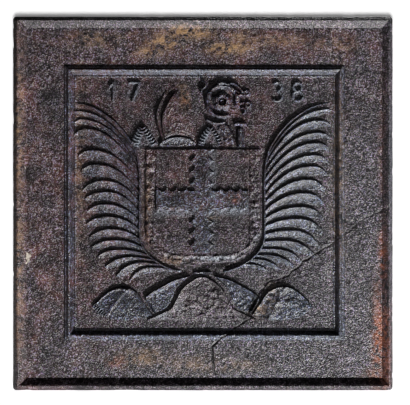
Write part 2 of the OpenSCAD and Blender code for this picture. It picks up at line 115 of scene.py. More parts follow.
def crack_distance(x, z):
    """Distances from the crack and from its side branch, each over its own half width. The
    points are shaken sideways by up to 2 mm first, so that both lines run ragged."""
    u, v = x + 2 * swell(x, z, 9, 5), z + 2 * swell(x, z, 9, 6)
    return near_line(u, v, crack) / crack_half, near_line(u, v, side_crack) / side_crack_half


def in_border(x):
    """0 in the panel and 1 in the right border, where the crack is finer."""
    return ramp((x - 190) / 40)


def crack_depth(x, z):
    """Depth of the crack in mm: a V along its line, and a shallow V along the branch."""
    main, branch = crack_distance(x, z)
    return (2.6 - 1.2 * in_border(x)) * np.clip(1 - main, 0, 1) + np.clip(1 - branch, 0, 1)


def crack_dirt(x, z):
    """Cover of dirt in the crack, 0 to 1: it reaches a little over the crack's lips."""
    main, branch = crack_distance(x, z)
    return (1 - 0.5 * in_border(x)) * ramp(1.75 - main) + 0.6 * ramp(1.4 - branch)


def spalled(x, z):
    """How far the skin has flaked off round the crack, 0 to 1."""
    away = near_line(x, z, crack[4:15])
    return ramp(1.25 - away / 30) * ramp(0.9 + swell(x, z, 22, 8))


def cast_skin(x, z):
    """Height of the sand-cast skin over the true surface: long waves, lumps and grains of sand
    one over another, pits, flaked skin round the crack, and the crack itself."""
    waves = 0.35 * swell(x, z, 70, 1) + 0.16 * swell(x, z, 17, 2) + 0.1 * swell(x, z, 7, 3)
    grains = 0.08 * swell(x, z, 3.4, 13)
    pits = 0.45 * ramp((swell(x, z, 5, 4) - 0.6) / 0.3)
    flaked = spalled(x, z) * (0.7 * swell(x, z, 8, 7) + 0.5 * swell(x, z, 4.5, 9) - 0.3)
    return waves + grains - pits + flaked - crack_depth(x, z)


def round_corners(x, z):
    """Draws each corner's square in to its quarter circle; all other points stay."""
    dx = x - np.clip(x, plate_left + corner_r, plate_right - corner_r)
    dz = z - np.clip(z, plate_bottom + corner_r, plate_top - corner_r)
    reach = np.hypot(dx, dz)
    pull = np.where(reach > 0, np.maximum(abs(dx), abs(dz)) / np.maximum(reach, 1e-9), 1)
    return x - dx + dx * pull, z - dz + dz * pull


def worn_edge(x, z):
    """How far the plate's outline has been knocked and rusted away, in mm."""
    return 0.2 + 0.4 * (1 + swell(x, z, 34, 15)) + 1.6 * ramp((swell(x, z, 11, 16) - 0.25) / 0.6)


def round_edge(index):
    """The indices of a grid's points once round its edge."""
    return np.concatenate([index[:-1, 0], index[-1, :-1], index[1:, -1][::-1], index[0, 1:][::-1]])


def shell(x, z, h, back, closed):
    """Points and faces of one closed shell. Its front is a grid of board points with their
    heights. Round the grid's edge a wall drops straight back to a flat underside. A closed
    grid runs round in a ring, so it has an inner and an outer wall."""
    x, z, h = (np.array(part, float) for part in np.broadcast_arrays(x, z, h))
    turn = np.gradient(x, axis=0) * np.gradient(z, axis=1) - np.gradient(x, axis=1) * np.gradient(z, axis=0)
    if turn.sum() < 0:
        x, z, h = x[:, ::-1], z[:, ::-1], h[:, ::-1]
    n, m = x.shape
    points = np.stack([x, z, h + cast_skin(x, z)], -1).reshape(-1, 3)
    index = np.arange(n * m).reshape(n, m)
    if closed:
        index = np.vstack([index, index[:1]])
        edges = [index[:-1, 0], index[:-1, -1][::-1]]
    else:
        edges = [round_edge(index)]
    faces = [np.stack([index[:-1, :-1], index[1:, :-1], index[1:, 1:], index[:-1, 1:]], -1).reshape(-1, 4)]
    feet = []
    for edge in edges:
        foot = len(points) + np.arange(len(edge))
        faces.append(np.stack([edge, foot, np.roll(foot, -1), np.roll(edge, -1)], -1))
        points = np.vstack([points, np.column_stack([points[edge, :2], np.full(len(edge), back)])])
        feet.append(foot)
    if closed:
        outer, inner = feet[0], feet[1][::-1]
        faces.append(np.stack([outer, inner, np.roll(inner, -1), np.roll(outer, -1)], -1))
    else:
        faces.append(feet[0][None, ::-1])
    return points, [tuple(face) for block in faces for face in block]


def casting(name, *shells, back=sunk, closed=False):
    """One piece of the casting, made of one or more closed shells that run into each other."""
    points, faces = np.zeros((0, 3)), []
    for grid in shells:
        more, sides = shell(*grid, back, closed)
        faces += [tuple(np.add(side, len(points))) for side in sides]
        points = np.vstack([points, more])
    return iron_mesh(name, points, faces)


# Patches of rust and lime, of deep soot, some of it painted shadow, and of rubbed iron, partly
# painted highlight, each with its middle x and z, its half width and half height in mm, and how
# strong it is
tan_rust = [(-64, 280, 28, 12, 1.4), (-25, 296, 36, 11, 1.5), (46, 269, 36, 10, 1.3), (-92, 262, 22, 9, 1.0),
            (66, 290, 18, 10, 0.8), (120, 282, 60, 10, 0.5), (-180, 284, 50, 12, 0.5),
            (230, 276, 40, 12, 0.4), (-20, -280, 60, 14, 0.35), (-100, -270, 40, 16, 0.5),
            (60, -283, 40, 10, 0.35), (-318, 120, 8, 150, 0.6), (-318, -120, 8, 120, 0.7),
            (-212, 60, 9, 160, 0.4), (236, 40, 10, 170, 0.5), (-30, 184, 8, 18, 0.7), (-36, 204, 8, 8, 0.4),
            (-96, 0, 8, 70, 0.45), (-45, -100, 22, 7, 0.6), (20, -24, 9, 6, 0.5), (100, -187, 12, 14, 0.7),
            (118, -160, 14, 26, 0.35)]
red_rust = [(306, -240, 10, 80, 1.0), (318, -250, 8, 90, 0.8), (313, -100, 7, 60, 0.7),
            (312, 90, 6, 120, 0.2), (-29, 178, 7, 13, 0.45), (-24, 168, 6, 8, 0.3), (57, 8, 11, 9, 0.8),
            (-150, -276, 16, 8, 0.5), (300, -300, 20, 12, 0.6)]
lime = [(-303, -92, 5, 7, 1.0), (-302, -101, 4, 5, 0.9), (-305, 60, 2, 3, 0.6), (-262, -160, 3, 3, 0.5),
        (-275, 20, 2, 3, 0.5), (-288, -40, 2, 2, 0.6), (-270, -205, 3, 2, 0.5), (-296, 150, 2, 2, 0.5)]
# The first two spots paint the shadow in the gap under the shield's foot, and the last one paints shade on
# the bottom rim's slope that faces up
soot_and_shadow_spots = [(8, -111, 24, 5.5, 2.2), (38, -108, 24, 6, 2.2), (-36, -112, 12, 5, 0.5), (62, -98, 18, 8, 0.7),
             (-64, -170, 13, 14, 0.8), (70, -170, 12, 12, 0.6), (-62, 128, 8, 18, 0.6),
             (-3, 160, 16, 22, 0.4), (-42, 150, 26, 34, 0.65), (-262, 0, 46, 320, 0.3),
             (-120, 180, 60, 40, 0.75), (-250, -230, 40, 60, 0.3), (0, 62, 17, 40, 1.2),
             (-50, 4, 44, 18, 0.8), (50, 8, 44, 14, 0.6), (0, -55, 17, 45, 0.4), (0, -321, 360, 6, 1.1)]
# Rubbed iron is partly wear and partly painted highlight, laid on the numerals, the lappets, the shield's lip
# and the beam's lower edges so that their lit sides show
rubbed_and_highlight = [(-113, 113, 8, 17, 2.0), (-92, 113, 8, 17, 2.0), (5, 117, 8, 16, 2.0), (25, 115, 6, 15, 1.5),
          (37, 205, 14, 8, 0.9), (22, 147, 22, 6, 0.7), (28, 140, 20, 4, 0.7), (34, 190, 14, 7, 0.6),
          (36, 166, 14, 6, 0.6), (20, -97, 46, 5, 1.1), (-72, -196, 20, 6, 0.7), (-42, -172, 7, 22, 0.5),
          (-42, 112, 26, 6, 0.5), (95, -58, 5, 6, 0.6), (-18, 60, 5, 40, 0.4), (20, 60, 6, 44, 1.2),
          (-46, -18, 36, 5, 1.8), (44, -17, 40, 5, 1.8), (327, 30, 5, 260, 1.2), (20, -50, 6, 40, 0.6),
          (-177, -191, 9, 7, 0.9), (-155, 195, 9, 20, 1.0), (-122, 195, 13, 20, 1.0),
          (133, 195, 11, 20, 1.0), (165, 195, 11, 20, 1.0), (0, 227, 190, 5, 0.6)]


def patches(x, z, spots):
    """Cover of the spots, 0 and up: each fades out from its middle as a bell curve."""
    cover = np.zeros(np.shape(x))
    for mx, mz, wide, high, strong in spots:
        cover = np.maximum(cover, strong * np.exp(-((x - mx) / wide) ** 2 - ((z - mz) / high) ** 2))
    return cover


def soot_and_shade_cover(x, z, h, upward):
    """Soot lies on the panel, thickest at its upper left, more thinly on what stands out, and
    deep in a few corners, some of them painted shadow. Painted shade goes with it: a band
    along the panel's head and foot beside the beads, and black on every ledge that faces up,
    away from the low lamp. Slopes that face down, towards the lamp, hold less: painted light."""
    from_end = panel_top - panel_z - abs(z)
    inside = ramp((abs(panel_left - arms_x) - abs(x)) / 8) * ramp(from_end / 8)
    thick = 0.85 - 0.4 * ramp((x - z) / 420 + 0.5)
    # Painted shade: a dark band along the panel's head and foot, beside the beads
    margins = 0.8 * ramp((14 - abs(from_end)) / 9)
    low = 0.4 + 0.6 * ramp((8.5 - h) / 4)
    lying = inside * np.maximum(thick * low, margins * (h < 4)) * (0.8 + 0.4 * swell(x, z, 40, 17))
    # Painted light and shade: slopes that face down, towards the low lamp, keep less soot, and every ledge
    # that faces up, away from it, is painted black
    lying = 0.85 * np.maximum(lying, patches(x, z, soot_and_shadow_spots)) * (1 - 0.7 * ramp((-upward - 0.2) / 0.4))
    return np.maximum(lying, ramp((upward - 0.25) / 0.4) * (h > back_h + 2))


def rubbed_and_highlight_cover(x, z, upward):
    """Where a brush has rubbed the iron bright, and painted highlight: slopes that face down,
    towards the low lamp, get more of it than the rest.
    """
    return patches(x, z, rubbed_and_highlight) * (0.3 + 0.7 * ramp(-upward / 0.35))


def brown_cover(x, z):
    """Brown rust film, 0 to 1: strongest at the head and the left of the plate, in streaks that
    run down, and on the shield's upper left. Along the top rim it is rubbed off."""
    side = 0.1 + 0.9 * ramp((z - x) / 520 + 0.48)
    streaks = 0.85 + 0.5 * swell(x, z / 3, 22, 18) + 0.4 * swell(x, z, 60, 19)
    shield_brown = np.exp(-((x + 20) / 55) ** 2 - ((z - 45) / 45) ** 2)
    rubbed_head = 1 - 0.8 * ramp((z - 296) / 8)
    return np.clip((side * 1.2 * streaks + shield_brown) * rubbed_head, 0, 1)


def back_covers(x, z):
    """The covers of back and edges: brown and tan rust in cloudy patches, red rust towards the
    edges and a little soot."""
    clouds = 0.5 + 0.5 * swell(x, z, 90, 61) + 0.3 * swell(x, z, 30, 62)
    outside = ramp((np.maximum(abs(x), abs(z)) - 260) / 90)
    none = np.zeros_like(x)
    return {"brown": np.clip(clouds, 0, 1), "tan_rust": 0.5 * ramp(clouds - 0.5),
            "red_rust": 0.35 * outside * ramp(swell(x, z, 40, 63) * 2),
            "soot_and_painted_shade": 0.35 * ramp(0.6 - clouds), "rubbed_and_highlight": none, "lime": none, "crack": none}


def front_covers(x, z, h, upward):
    """The covers of everything that lay against the sand mould."""
    ragged_x, ragged_z = x + 3 * swell(x, z, 4, 11), z + 3 * swell(x, z, 4, 12)
    return {"brown": brown_cover(x, z), "tan_rust": patches(x, z, tan_rust),
            "red_rust": patches(x, z, red_rust), "soot_and_painted_shade": soot_and_shade_cover(x, z, h, upward),
            "rubbed_and_highlight": rubbed_and_highlight_cover(x, z, upward), "lime": patches(ragged_x, ragged_z, lime),
            "crack": np.clip(crack_dirt(x, z), 0, 1)}


def iron_mesh(name, points, faces, front=True):
    """Makes an object of board points. What its material reads is kept on its vertices: the
    covers of the front, or else those of the back."""
    x, z, h = points.T
    mesh = bpy.data.meshes.new(name)
    world = np.stack([x + arms_x, panel_y - h, z + panel_z], -1) * MM
    mesh.from_pydata(world.tolist(), [], faces)
    mesh.polygons.foreach_set("use_smooth", [True] * len(mesh.polygons))
    upward = np.zeros(len(points) * 3)
    mesh.vertex_normals.foreach_get("vector", upward)
    covers = front_covers(x, z, h, upward[2::3]) if front else back_covers(x, z)
    for key, values in covers.items():
        mesh.attributes.new(key, "FLOAT", "POINT").data.foreach_set("value", values.astype(np.float32))
    piece = bpy.data.objects.new(name, mesh)
    bpy.context.collection.objects.link(piece)
    return piece


def linear(hex_colour):
    """An sRGB hex colour as linear red, green, blue and alpha."""
    c = np.array([int(hex_colour[k:k + 2], 16) for k in (1, 3, 5)]) / 255
    return (*np.where(c <= 0.04045, c / 12.92, ((c + 0.055) / 1.055) ** 2.4), 1.0)


def add(tree, kind, settings=None, **links):
    """Adds a node, with its settings by name and its inputs set to values or linked to sockets."""
    node = tree.nodes.new(kind)
    for key, value in (settings or {}).items():
        setattr(node, key, value)
    for key, value in links.items():
        socket = node.inputs[int(key[1:])] if key[0] == "_" else node.inputs[key.replace("_", " ")]
        if isinstance(value, bpy.types.NodeSocket):
            tree.links.new(value, socket)
        else:
            socket.default_value = value
    return node


# What lies over the skin, from the lowest cover to the uppermost
cover_colours = {"tan_rust": "#a8845c", "red_rust": "#9c532c", "soot_and_painted_shade": "#120e10", "rubbed_and_highlight": "#7c828c",
                 "lime": "#c9bfb2", "crack": "#141012"}


def cast_iron(name, skin, deep, worn, film_share, roughness, index):
    """Sand-cast grey iron under thin, waxed oxide. The hollows of the 2 mm sand grain are dark
    with soot, and worn grey iron shows on its tops. A brown film lies over film_share of it.
    The covers on the vertices lay soot with painted shade, rust, lime, rubbed iron with painted
    highlight and the crack's dirt over it."""
    material = bpy.data.materials.new(name)
    material.use_nodes = True
    tree = material.node_tree
    tree.nodes.clear()
    place = add(tree, "ShaderNodeTexCoord").outputs["Object"]
    # Wide clouds, stains, lumps and grains of sand, by their size in mm, detail and roughness
    noises = [add(tree, "ShaderNodeTexNoise", Vector=place, Scale=1 / (size * MM), Detail=detail,
                  Roughness=uneven).outputs
              for size, detail, uneven in ((40, 1.0, 0.5), (26, 4.0, 0.65), (7, 3.0, 0.6), (2.1, 1.0, 0.5))]
    clouds, stains, lumps, sand = (noise["Fac"] for noise in noises)
    cover = {key: add(tree, "ShaderNodeAttribute", {"attribute_name": key}).outputs["Fac"]
             for key in ("brown", *cover_colours)}

    # The skin: deep in the hollows of the grain, brown in wide stains, grey on the tops
    grit = add(tree, "ShaderNodeMath", {"operation": "MULTIPLY_ADD"}, _0=lumps, _1=0.25,
               _2=sand).outputs[0]
    hollow = add(tree, "ShaderNodeMapRange", Value=grit, From_Min=0.5, From_Max=0.64).outputs["Result"]
    bare = add(tree, "ShaderNodeMapRange", Value=grit, From_Min=0.64, From_Max=0.78).outputs["Result"]
    stained = add(tree, "ShaderNodeMapRange", Value=stains, From_Min=0.4, From_Max=0.64,
                  To_Min=0.35).outputs["Result"]
    browned = add(tree, "ShaderNodeMath", {"operation": "MULTIPLY"}, _0=stained,
                  _1=cover["brown"]).outputs[0]
    browned = add(tree, "ShaderNodeMath", {"operation": "MULTIPLY"}, _0=browned, _1=film_share).outputs[0]
    colour = linear(deep)
    for share, above in ((hollow, skin), (browned, "#522c27"), (bare, worn)):
        colour = add(tree, "ShaderNodeMix", {"data_type": "RGBA"}, _0=share, _6=colour,
                     _7=linear(above)).outputs[2]

    # Single grains differ in hue: bluish oxide, brown rust, grey iron. Whole lumps and wide
    # clouds are darker or lighter
    patchy = add(tree, "ShaderNodeMath", {"operation": "MULTIPLY_ADD"}, _0=stains, _1=0.6,
                 _2=lumps).outputs[0]
    grainy = add(tree, "ShaderNodeMath", {"operation": "MULTIPLY_ADD"}, _0=sand, _1=0.7,
                 _2=patchy).outputs[0]
    blotch = add(tree, "ShaderNodeMapRange", Value=grainy, From_Min=0.9, From_Max=1.4, To_Min=0.28,
                 To_Max=1.68).outputs["Result"]
    cloudy = add(tree, "ShaderNodeMapRange", Value=clouds, From_Min=0.35, From_Max=0.65, To_Min=0.68,
                 To_Max=1.32).outputs["Result"]
    mottled = add(tree, "ShaderNodeMath", {"operation": "MULTIPLY"}, _0=blotch, _1=cloudy).outputs[0]
    hue = add(tree, "ShaderNodeVectorMath", {"operation": "MULTIPLY_ADD"}, _0=noises[-1]["Color"],
              _1=(1.5, 1.5, 1.5), _2=(0.25, 0.25, 0.25)).outputs["Vector"]
    tint = add(tree, "ShaderNodeVectorMath", {"operation": "SCALE"}, _0=hue,
               Scale=mottled).outputs["Vector"]
    colour = add(tree, "ShaderNodeMix", {"data_type": "RGBA", "blend_type": "MULTIPLY"}, _0=1.0,
                 _6=colour, _7=tint).outputs[2]

    # Rust, and soot with its painted shade, have soft, broken edges: their covers are weighed
    # against lumps and grain.
    # Lime ends sharply
    broken = add(tree, "ShaderNodeMapRange", Value=patchy, From_Min=0.68, From_Max=0.98).outputs["Result"]
    clinging = add(tree, "ShaderNodeMapRange", Value=grainy, From_Min=0.95, From_Max=1.4, To_Min=1.15,
                   To_Max=0.3).outputs["Result"]
    for key, against in (("tan_rust", broken), ("red_rust", broken), ("soot_and_painted_shade", clinging),
                         ("rubbed_and_highlight", hollow)):
        cover[key] = add(tree, "ShaderNodeMath", {"operation": "MULTIPLY"}, _0=cover[key],
                         _1=against).outputs[0]
    cover["lime"] = add(tree, "ShaderNodeMapRange", Value=cover["lime"], From_Min=0.35,
                        From_Max=0.6).outputs["Result"]
    for key, above in cover_colours.items():
        colour = add(tree, "ShaderNodeMix", {"data_type": "RGBA"}, _0=cover[key], _6=colour,
                     _7=linear(above)).outputs[2]

    # Grain too fine for the mesh; tan rust is rougher than the oxide skin, and soot with its
    # painted shade shines less
    heights = add(tree, "ShaderNodeMath", {"operation": "MULTIPLY_ADD"}, _0=lumps, _1=0.7,
                  _2=sand).outputs[0]
    bump = add(tree, "ShaderNodeBump", Strength=1.0, Distance=1.5 * MM, Height=heights).outputs["Normal"]
    dull = add(tree, "ShaderNodeMapRange", Value=lumps, From_Min=0.3, From_Max=0.7, To_Min=roughness[0],
               To_Max=roughness[1]).outputs["Result"]
    duller = add(tree, "ShaderNodeMath", {"operation": "MULTIPLY_ADD", "use_clamp": True},
                 _0=cover["tan_rust"], _1=0.3, _2=dull).outputs[0]
    sheen = add(tree, "ShaderNodeMapRange", Value=cover["soot_and_painted_shade"], To_Min=0.5, To_Max=0.15).outputs["Result"]
    shader = add(tree, "ShaderNodeBsdfPrincipled", Base_Color=colour, Metallic=0.0, IOR=index,
                 Roughness=duller, Specular_IOR_Level=sheen, Normal=bump)
    add(tree, "ShaderNodeOutputMaterial", Surface=shader.outputs["BSDF"])
    return material


# Dull skin of the ground, where soot stays
sooty_iron = cast_iron("sooty_cast_iron", "#2a2a30", "#0a080a", "#64666f", 1.0, (0.32, 0.44), 1.6)
# Brown skin along the outer edge, where damp gets in
rusty_iron = cast_iron("rusty_cast_iron", "#2a292d", "#0b0909", "#62616a", 1.0, (0.32, 0.46), 1.6)
# Grey skin on the raised ornament, where brushing has rubbed it
worn_iron = cast_iron("worn_cast_iron", "#242a33", "#07080a", "#56657a", 0.9, (0.28, 0.4), 1.7)

iron_of = {"sooty_iron": sooty_iron, "rusty_iron": rusty_iron, "worn_iron": worn_iron}


def fit(piece, slot, *nodes):
    """Gives a piece its iron, hangs it on the casting and lets it stand for its CAD nodes."""
    piece.data.materials.append(iron_of[slot])
    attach(piece, "root")
    if nodes:
        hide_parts(*nodes)


def slab():
    """The back is a grid with rounded corners. From its edge rings run forward round the
    sides, which bulge a little, then in under the rim, where a flat face closes them."""
    across, up = np.linspace(plate_left, plate_right, 150), np.linspace(plate_bottom, plate_top, 150)
    x, z = round_corners(*np.meshgrid(across, up, indexing="ij"))
    lumps = 0.9 + 0.5 * swell(x, z, 60, 21) + 0.25 * swell(x, z, 14, 22) + 0.15 * swell(x, z, 6, 23)
    n, m = x.shape
    points = np.stack([x, z, back_h + lumps], -1).reshape(-1, 3)
    index = np.arange(n * m).reshape(n, m)
    quads = np.stack([index[:-1, :-1], index[:-1, 1:], index[1:, 1:], index[1:, :-1]], -1).reshape(-1, 4)
    last = round_edge(index)
    outline = points[last]
    faces = list(map(tuple, quads))
    middle_x, middle_z = (plate_left + plate_right) / 2, (plate_bottom + plate_top) / 2
    half = np.array([plate_right - middle_x, plate_top - middle_z])
    sides = [(1.5 * (0.5 - t) ** 2, back_h + t * (border_h - back_h)) for t in np.linspace(0.12, 1, 9)]
    under_rim = [(9, border_h), (11, sunk + 0.5)]
    for inset, h in sides + under_rim:
        ring = outline.copy()
        wear = worn_edge(ring[:, 0], ring[:, 1]) + 0.25 * swell(ring[:, 0] + 2 * h, ring[:, 1] + 3 * h, 7, 24)
        away = ring[:, :2] - [middle_x, middle_z]
        ring[:, :2] -= away * (inset + np.maximum(wear, 0))[:, None] / half
        ring[:, 2] = h
        index = len(points) + np.arange(len(ring))
        points = np.vstack([points, ring])
        faces += list(map(tuple, np.stack([last, np.roll(last, -1), np.roll(index, -1), index], -1)))
        last = index
    faces.append(tuple(last))
    return iron_mesh("slab", points, faces, front=False)


fit(slab(), "sooty_iron", "plate")

# ---- Front of the plate: the flat border and the sunk panel ----
# The same iron where it lay against the sand mould: a finer, pitted skin. They are made
# apart from the slab so that the skin can be fine without a heavy mesh.

skin_pitch = 1.6

# Insets say how far something lies in from each side of the plate, in this order
inset_sides = ("left", "bottom", "right", "top")


def drawn_in(inset):
    """Left, right, bottom and top of the plate's outline, drawn in by four insets."""
    return plate_left + inset[0], plate_right - inset[2], plate_bottom + inset[1], plate_top - inset[3]


def frame_line(inset, pitch):
    """Points round the plate's outline, drawn in by four insets and evenly spaced along each
    side."""
    left, right, bottom, top = drawn_in(inset)
    across = np.linspace(0, 1, int((plate_right - plate_left) / pitch))[:-1]
    up = np.linspace(0, 1, int((plate_top - plate_bottom) / pitch))[:-1]
    x = np.concatenate([left + across * (right - left), np.full(len(up), right),
                        right + across * (left - right), np.full(len(up), left)])
    z = np.concatenate([np.full(len(across), bottom), bottom + up * (top - bottom),
                        np.full(len(across), top), top + up * (bottom - top)])
    return x, z


def moulding_insets(kind):
    """The insets of the outer and of the inner edges of a moulding's four lengths."""
    low = {side: np.array(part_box(f"{kind}_{side}")[0]) / MM for side in inset_sides}
    high = {side: np.array(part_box(f"{kind}_{side}")[1]) / MM for side in inset_sides}
    outer = [low["left"][0] - plate_lo[0], low["bottom"][2] - plate_lo[2],
             plate_hi[0] - high["right"][0], plate_hi[2] - high["top"][2]]
    inner = [high["left"][0] - plate_lo[0], high["bottom"][2] - plate_lo[2],
             plate_hi[0] - low["right"][0], plate_hi[2] - low["top"][2]]
    return np.array(outer), np.array(inner)


rim_outer, rim_inner = moulding_insets("rim")
bead_outer, bead_inner = moulding_insets("bead")
# Border and panel run on this far under the mouldings
under = 5

border_outer, border_inner = rim_inner - under, bead_outer + under
lines = [frame_line(border_outer * (1 - t) + border_inner * t, skin_pitch) for t in np.linspace(0, 1, 46)]
border_x, border_z = (np.stack([line[k] for line in lines], -1) for k in (0, 1))
fit(casting("flat_border", (border_x, border_z, border_h), closed=True), "sooty_iron")

panel_half_x = (panel_right - panel_left) / 2 + under
panel_half_z = (panel_top - panel_bottom) / 2 + under
panel_mid_x = (panel_left + panel_right) / 2 - arms_x
columns = panel_mid_x + np.linspace(-panel_half_x, panel_half_x, 290)
rows = np.linspace(-panel_half_z, panel_half_z, 284)
fit(casting("sunk_panel", (*np.meshgrid(columns, rows, indexing="ij"), 0.0)), "sooty_iron")

# ---- Rim: the raised moulding round the outer edge ----
# Four lengths with mitred corners, of the same iron: on the pattern they were nailed round
# the board. The outer face is steep and round, the inner face is a long straight slope.

rim_crest = panel_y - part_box("rim_top")[0].y / MM


def soft_least(k, *values):
    """The least of the values, with corners rounded over about k mm."""
    return -k * np.log(sum(np.exp(-v / k) for v in values))


def rim_section(t, wide):
    """Height of the rim, t from its outer edge (0) to its inner one (1): the least of a steep
    outer face, a flat crest and a long inner slope, with rounded corners between them."""
    outer = border_h + 0.5 + 1.25 * t * wide
    inner = border_h + (1 - t) * wide * 0.8
    return soft_least(0.8, outer, inner, np.full_like(t, rim_crest - 0.9))


def mitred_length(side, outer, inner, section, pitch=2.2, rows=30):
    """Grid of one length of a moulding between its two mitre lines. It goes across from the
    outer insets to the inner ones, and section gives the height at each share of the way."""
    first = ("bottom", "right", "top", "left").index(side)
    along = np.linspace(0, 1, int((plate_top - plate_bottom) / pitch))[:, None, None]
    across = np.linspace(0, 1, rows)[None, :, None]
    edges = []
    for inset in (outer, inner):
        left, right, bottom, top = drawn_in(inset)
        corners = np.array([(left, bottom), (right, bottom), (right, top), (left, top)])
        edges.append(corners[first] * (1 - along) + corners[(first + 1) % 4] * along)
    grid = edges[0] * (1 - across) + edges[1] * across
    return grid[..., 0], grid[..., 1], section(np.broadcast_to(across[..., 0], grid.shape[:2]))


for side in ("top", "bottom", "left", "right"):
    k = inset_sides.index(side)
    wide = rim_inner[k] - rim_outer[k]
    x, z, h = mitred_length(side, rim_outer, rim_inner + 0.5, lambda t: rim_section(t, wide))
    x, z = round_corners(x, z)
    # Knocks in the plate's outline go up its outer face and die out towards the inner one
    lost = (1 - np.linspace(0, 1, x.shape[1])) ** 2 * worn_edge(x, z)
    x = np.clip(x, plate_left + lost, plate_right - lost)
    z = np.clip(z, plate_bottom + lost, plate_top - lost)
    fit(casting(f"rim_{side}_length", (x, z, h), back=border_h - 2), "rusty_iron", f"rim_{side}")

# ---- Bead: the moulding round the panel ----
# Four mitred lengths again. Their steep sides face the border and the panel. A fine groove
# runs along the crest and a deeper one along the foot.

bead_crest = panel_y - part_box("bead_top")[0].y / MM


def bead_section(t, wide):
    """Height of the bead, t from the border (0) to the panel (1): two smooth steps up to the
    crest, a longer one down to the panel, and two grooves shaped as bell curves."""
    d = t * wide
    rise = 0.45 * ramp((d - 2) / 3.5) + 0.55 * ramp((d - 7.5) / 3.5)
    top = border_h - 0.8 + (bead_crest + 0.7 - border_h) * rise
    fall = (bead_crest - 1.8) * ramp((d - 12) / 8)
    grooves = 0.4 * np.exp(-((d - 12) / 0.8) ** 2) + 2.4 * np.exp(-((d - 20.4) / 1.1) ** 2)
    return top - fall - grooves - 1.6 * ramp((d - 21.5) / 2)


for side in ("top", "bottom", "left", "right"):
    k = inset_sides.index(side)
    wide = bead_inner[k] - bead_outer[k]
    x, z, h = mitred_length(side, bead_outer, bead_inner, lambda t: bead_section(t, wide))
    fit(casting(f"bead_{side}_length", (x, z, h)), "worn_iron", f"bead_{side}")

# ---- Shield: a smooth field inside a raised, hand-tooled border ----
# One carved stamp on the pattern. Its side borders are notched with a gouge, and its foot
# is a rolled lip that falls towards the palms.

shield_half = (shield_hi[0] - shield_lo[0]) / 2
shield_head = shield_hi[2] - panel_z
shield_foot = shield_lo[2] - panel_z
foot_round = 60
field_half = 81.5


def rise_over(*edges):
    """1 well inside the edges, falling to 0 at each: a product of smooth steps, each over its
    own run-in in mm."""
    product = 1.0
    for away, run_in in edges:
        product = product * ramp(away / run_in)
    return product


def field_level(z):
    """Height of the shield's field: level, and a little higher towards the foot."""
    return 4 + 1.4 * ramp((-30 - z) / 60)


def shield():
    """Columns from the head down to the round foot, closer together at the sides: the foot is
    half an ellipse. Rough borders run down the sides. Above the foot a rolled crest crosses
    from side to side over broken ground, which drops deeper right of the middle."""
    turn = np.cos(np.pi * np.linspace(0, 1, 220))
    x = -shield_half * turn[:, None]
    foot = shield_foot + foot_round * (1 - np.sqrt(np.clip(1 - (x / shield_half) ** 2, 0, 1)))
    z = shield_head + (foot - shield_head) * (0.5 - 0.5 * turn)[None, :]
    x = x + 0 * z
    across, down = x / shield_half, np.minimum(z - shield_foot - foot_round, 0) / foot_round
    out = np.maximum(np.hypot(across, down), 0.01)
    inward = (1 - out) * out / np.maximum(np.hypot(across / shield_half, down / foot_round), 1e-6)
    # How far each point lies over the crest's line, which climbs at both sides
    crest = z - (shield_foot + 22 + 36 * (abs(x) / 93) ** 5)
    rough = 1.2 * swell(x, z, 9, 31) + 0.9 * swell(x, z, 5, 32) + 0.6 * swell(x, z, 3, 36)
    border = ramp((abs(x) - field_half) / 2) * ramp((crest + 4) / 8)
    broken = ramp((2 - crest) / 4)
    height = field_level(z) + border * (0.6 + rough) + broken * (1.1 * rough - 1.0)
    # The drop in the broken ground, the roll of the crest, a groove along each side border, a
    # fine scratch on the left, and five lumps on the side borders
    height = height - 6.0 * ramp((-crest - 10) / 3) * ramp((x + 12) / 14)
    height = height + (1.5 + 0.7 * rough) * np.exp(-(crest / 2.8) ** 2)
    height = height - 1.5 * np.exp(-((abs(x) - field_half) / 1.2) ** 2) * ramp((z + 20) / 60)
    height = height - 0.6 * np.exp(-((x + 59) / 1.1) ** 2) * ramp((60 - z) / 40)
    for lump_x, lump_z, size in ((91, -1, 5.5), (91, -54, 6.5), (88, -36, 4), (-90, 60, 4.5), (-93, 25, 5)):
        height = height + 2.0 * np.exp(-((x - lump_x) / size) ** 2 - ((z - lump_z) / size) ** 2)
    run_in = 3.6 + 5 * ramp(-x / 60) * (1 - ramp(-down * 2))
    edge = rise_over((inward - 2.6 * ramp(-down * 2), run_in), (shield_head - z, 2.6))
    return x, z, -1.5 + (height + 1.5) * edge


fit(casting("shield_stamp", shield()), "sooty_iron", "shield")

# ---- Cross: the scalloped bars that quarter the shield ----
# Two low bars. Round bites of a gouge along both edges leave a row of points, and no two
# are the same.

cross_lo, cross_hi = in_mm(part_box("shield_cross"))
cross_level = panel_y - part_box("shield_cross")[1].y / MM
cross_rise = panel_y - cross_lo[1] - cross_level
cross_z = 4
post_half, beam_half = 14.5, 18.5
# The outline of a stamp is sunk this far into its ground, so that no gap shows round it
bed = 1.2


def band(path, half, rows=13):
    """Grid of a band along a line. Its points go out by half on either side, closer together
    at the edges. The last array is -1 at the left edge and 1 at the right one."""
    heading = np.gradient(path, axis=0)
    heading /= np.linalg.norm(heading, axis=1)[:, None]
    side = np.sin(np.pi / 2 * np.linspace(-1, 1, rows))[None, :]
    half = np.broadcast_to(half, len(path))[:, None]
    return path[:, :1] + heading[:, 1:] * half * side, path[:, 1:] - heading[:, :1] * half * side, side


def straight(start, end, pitch=1.0):
    """Evenly spaced points from start to end."""
    count = max(3, int(np.hypot(end[0] - start[0], end[1] - start[1]) / pitch))
    t = np.linspace(0, 1, count)[:, None]
    return np.array(start) * (1 - t) + np.array(end) * t


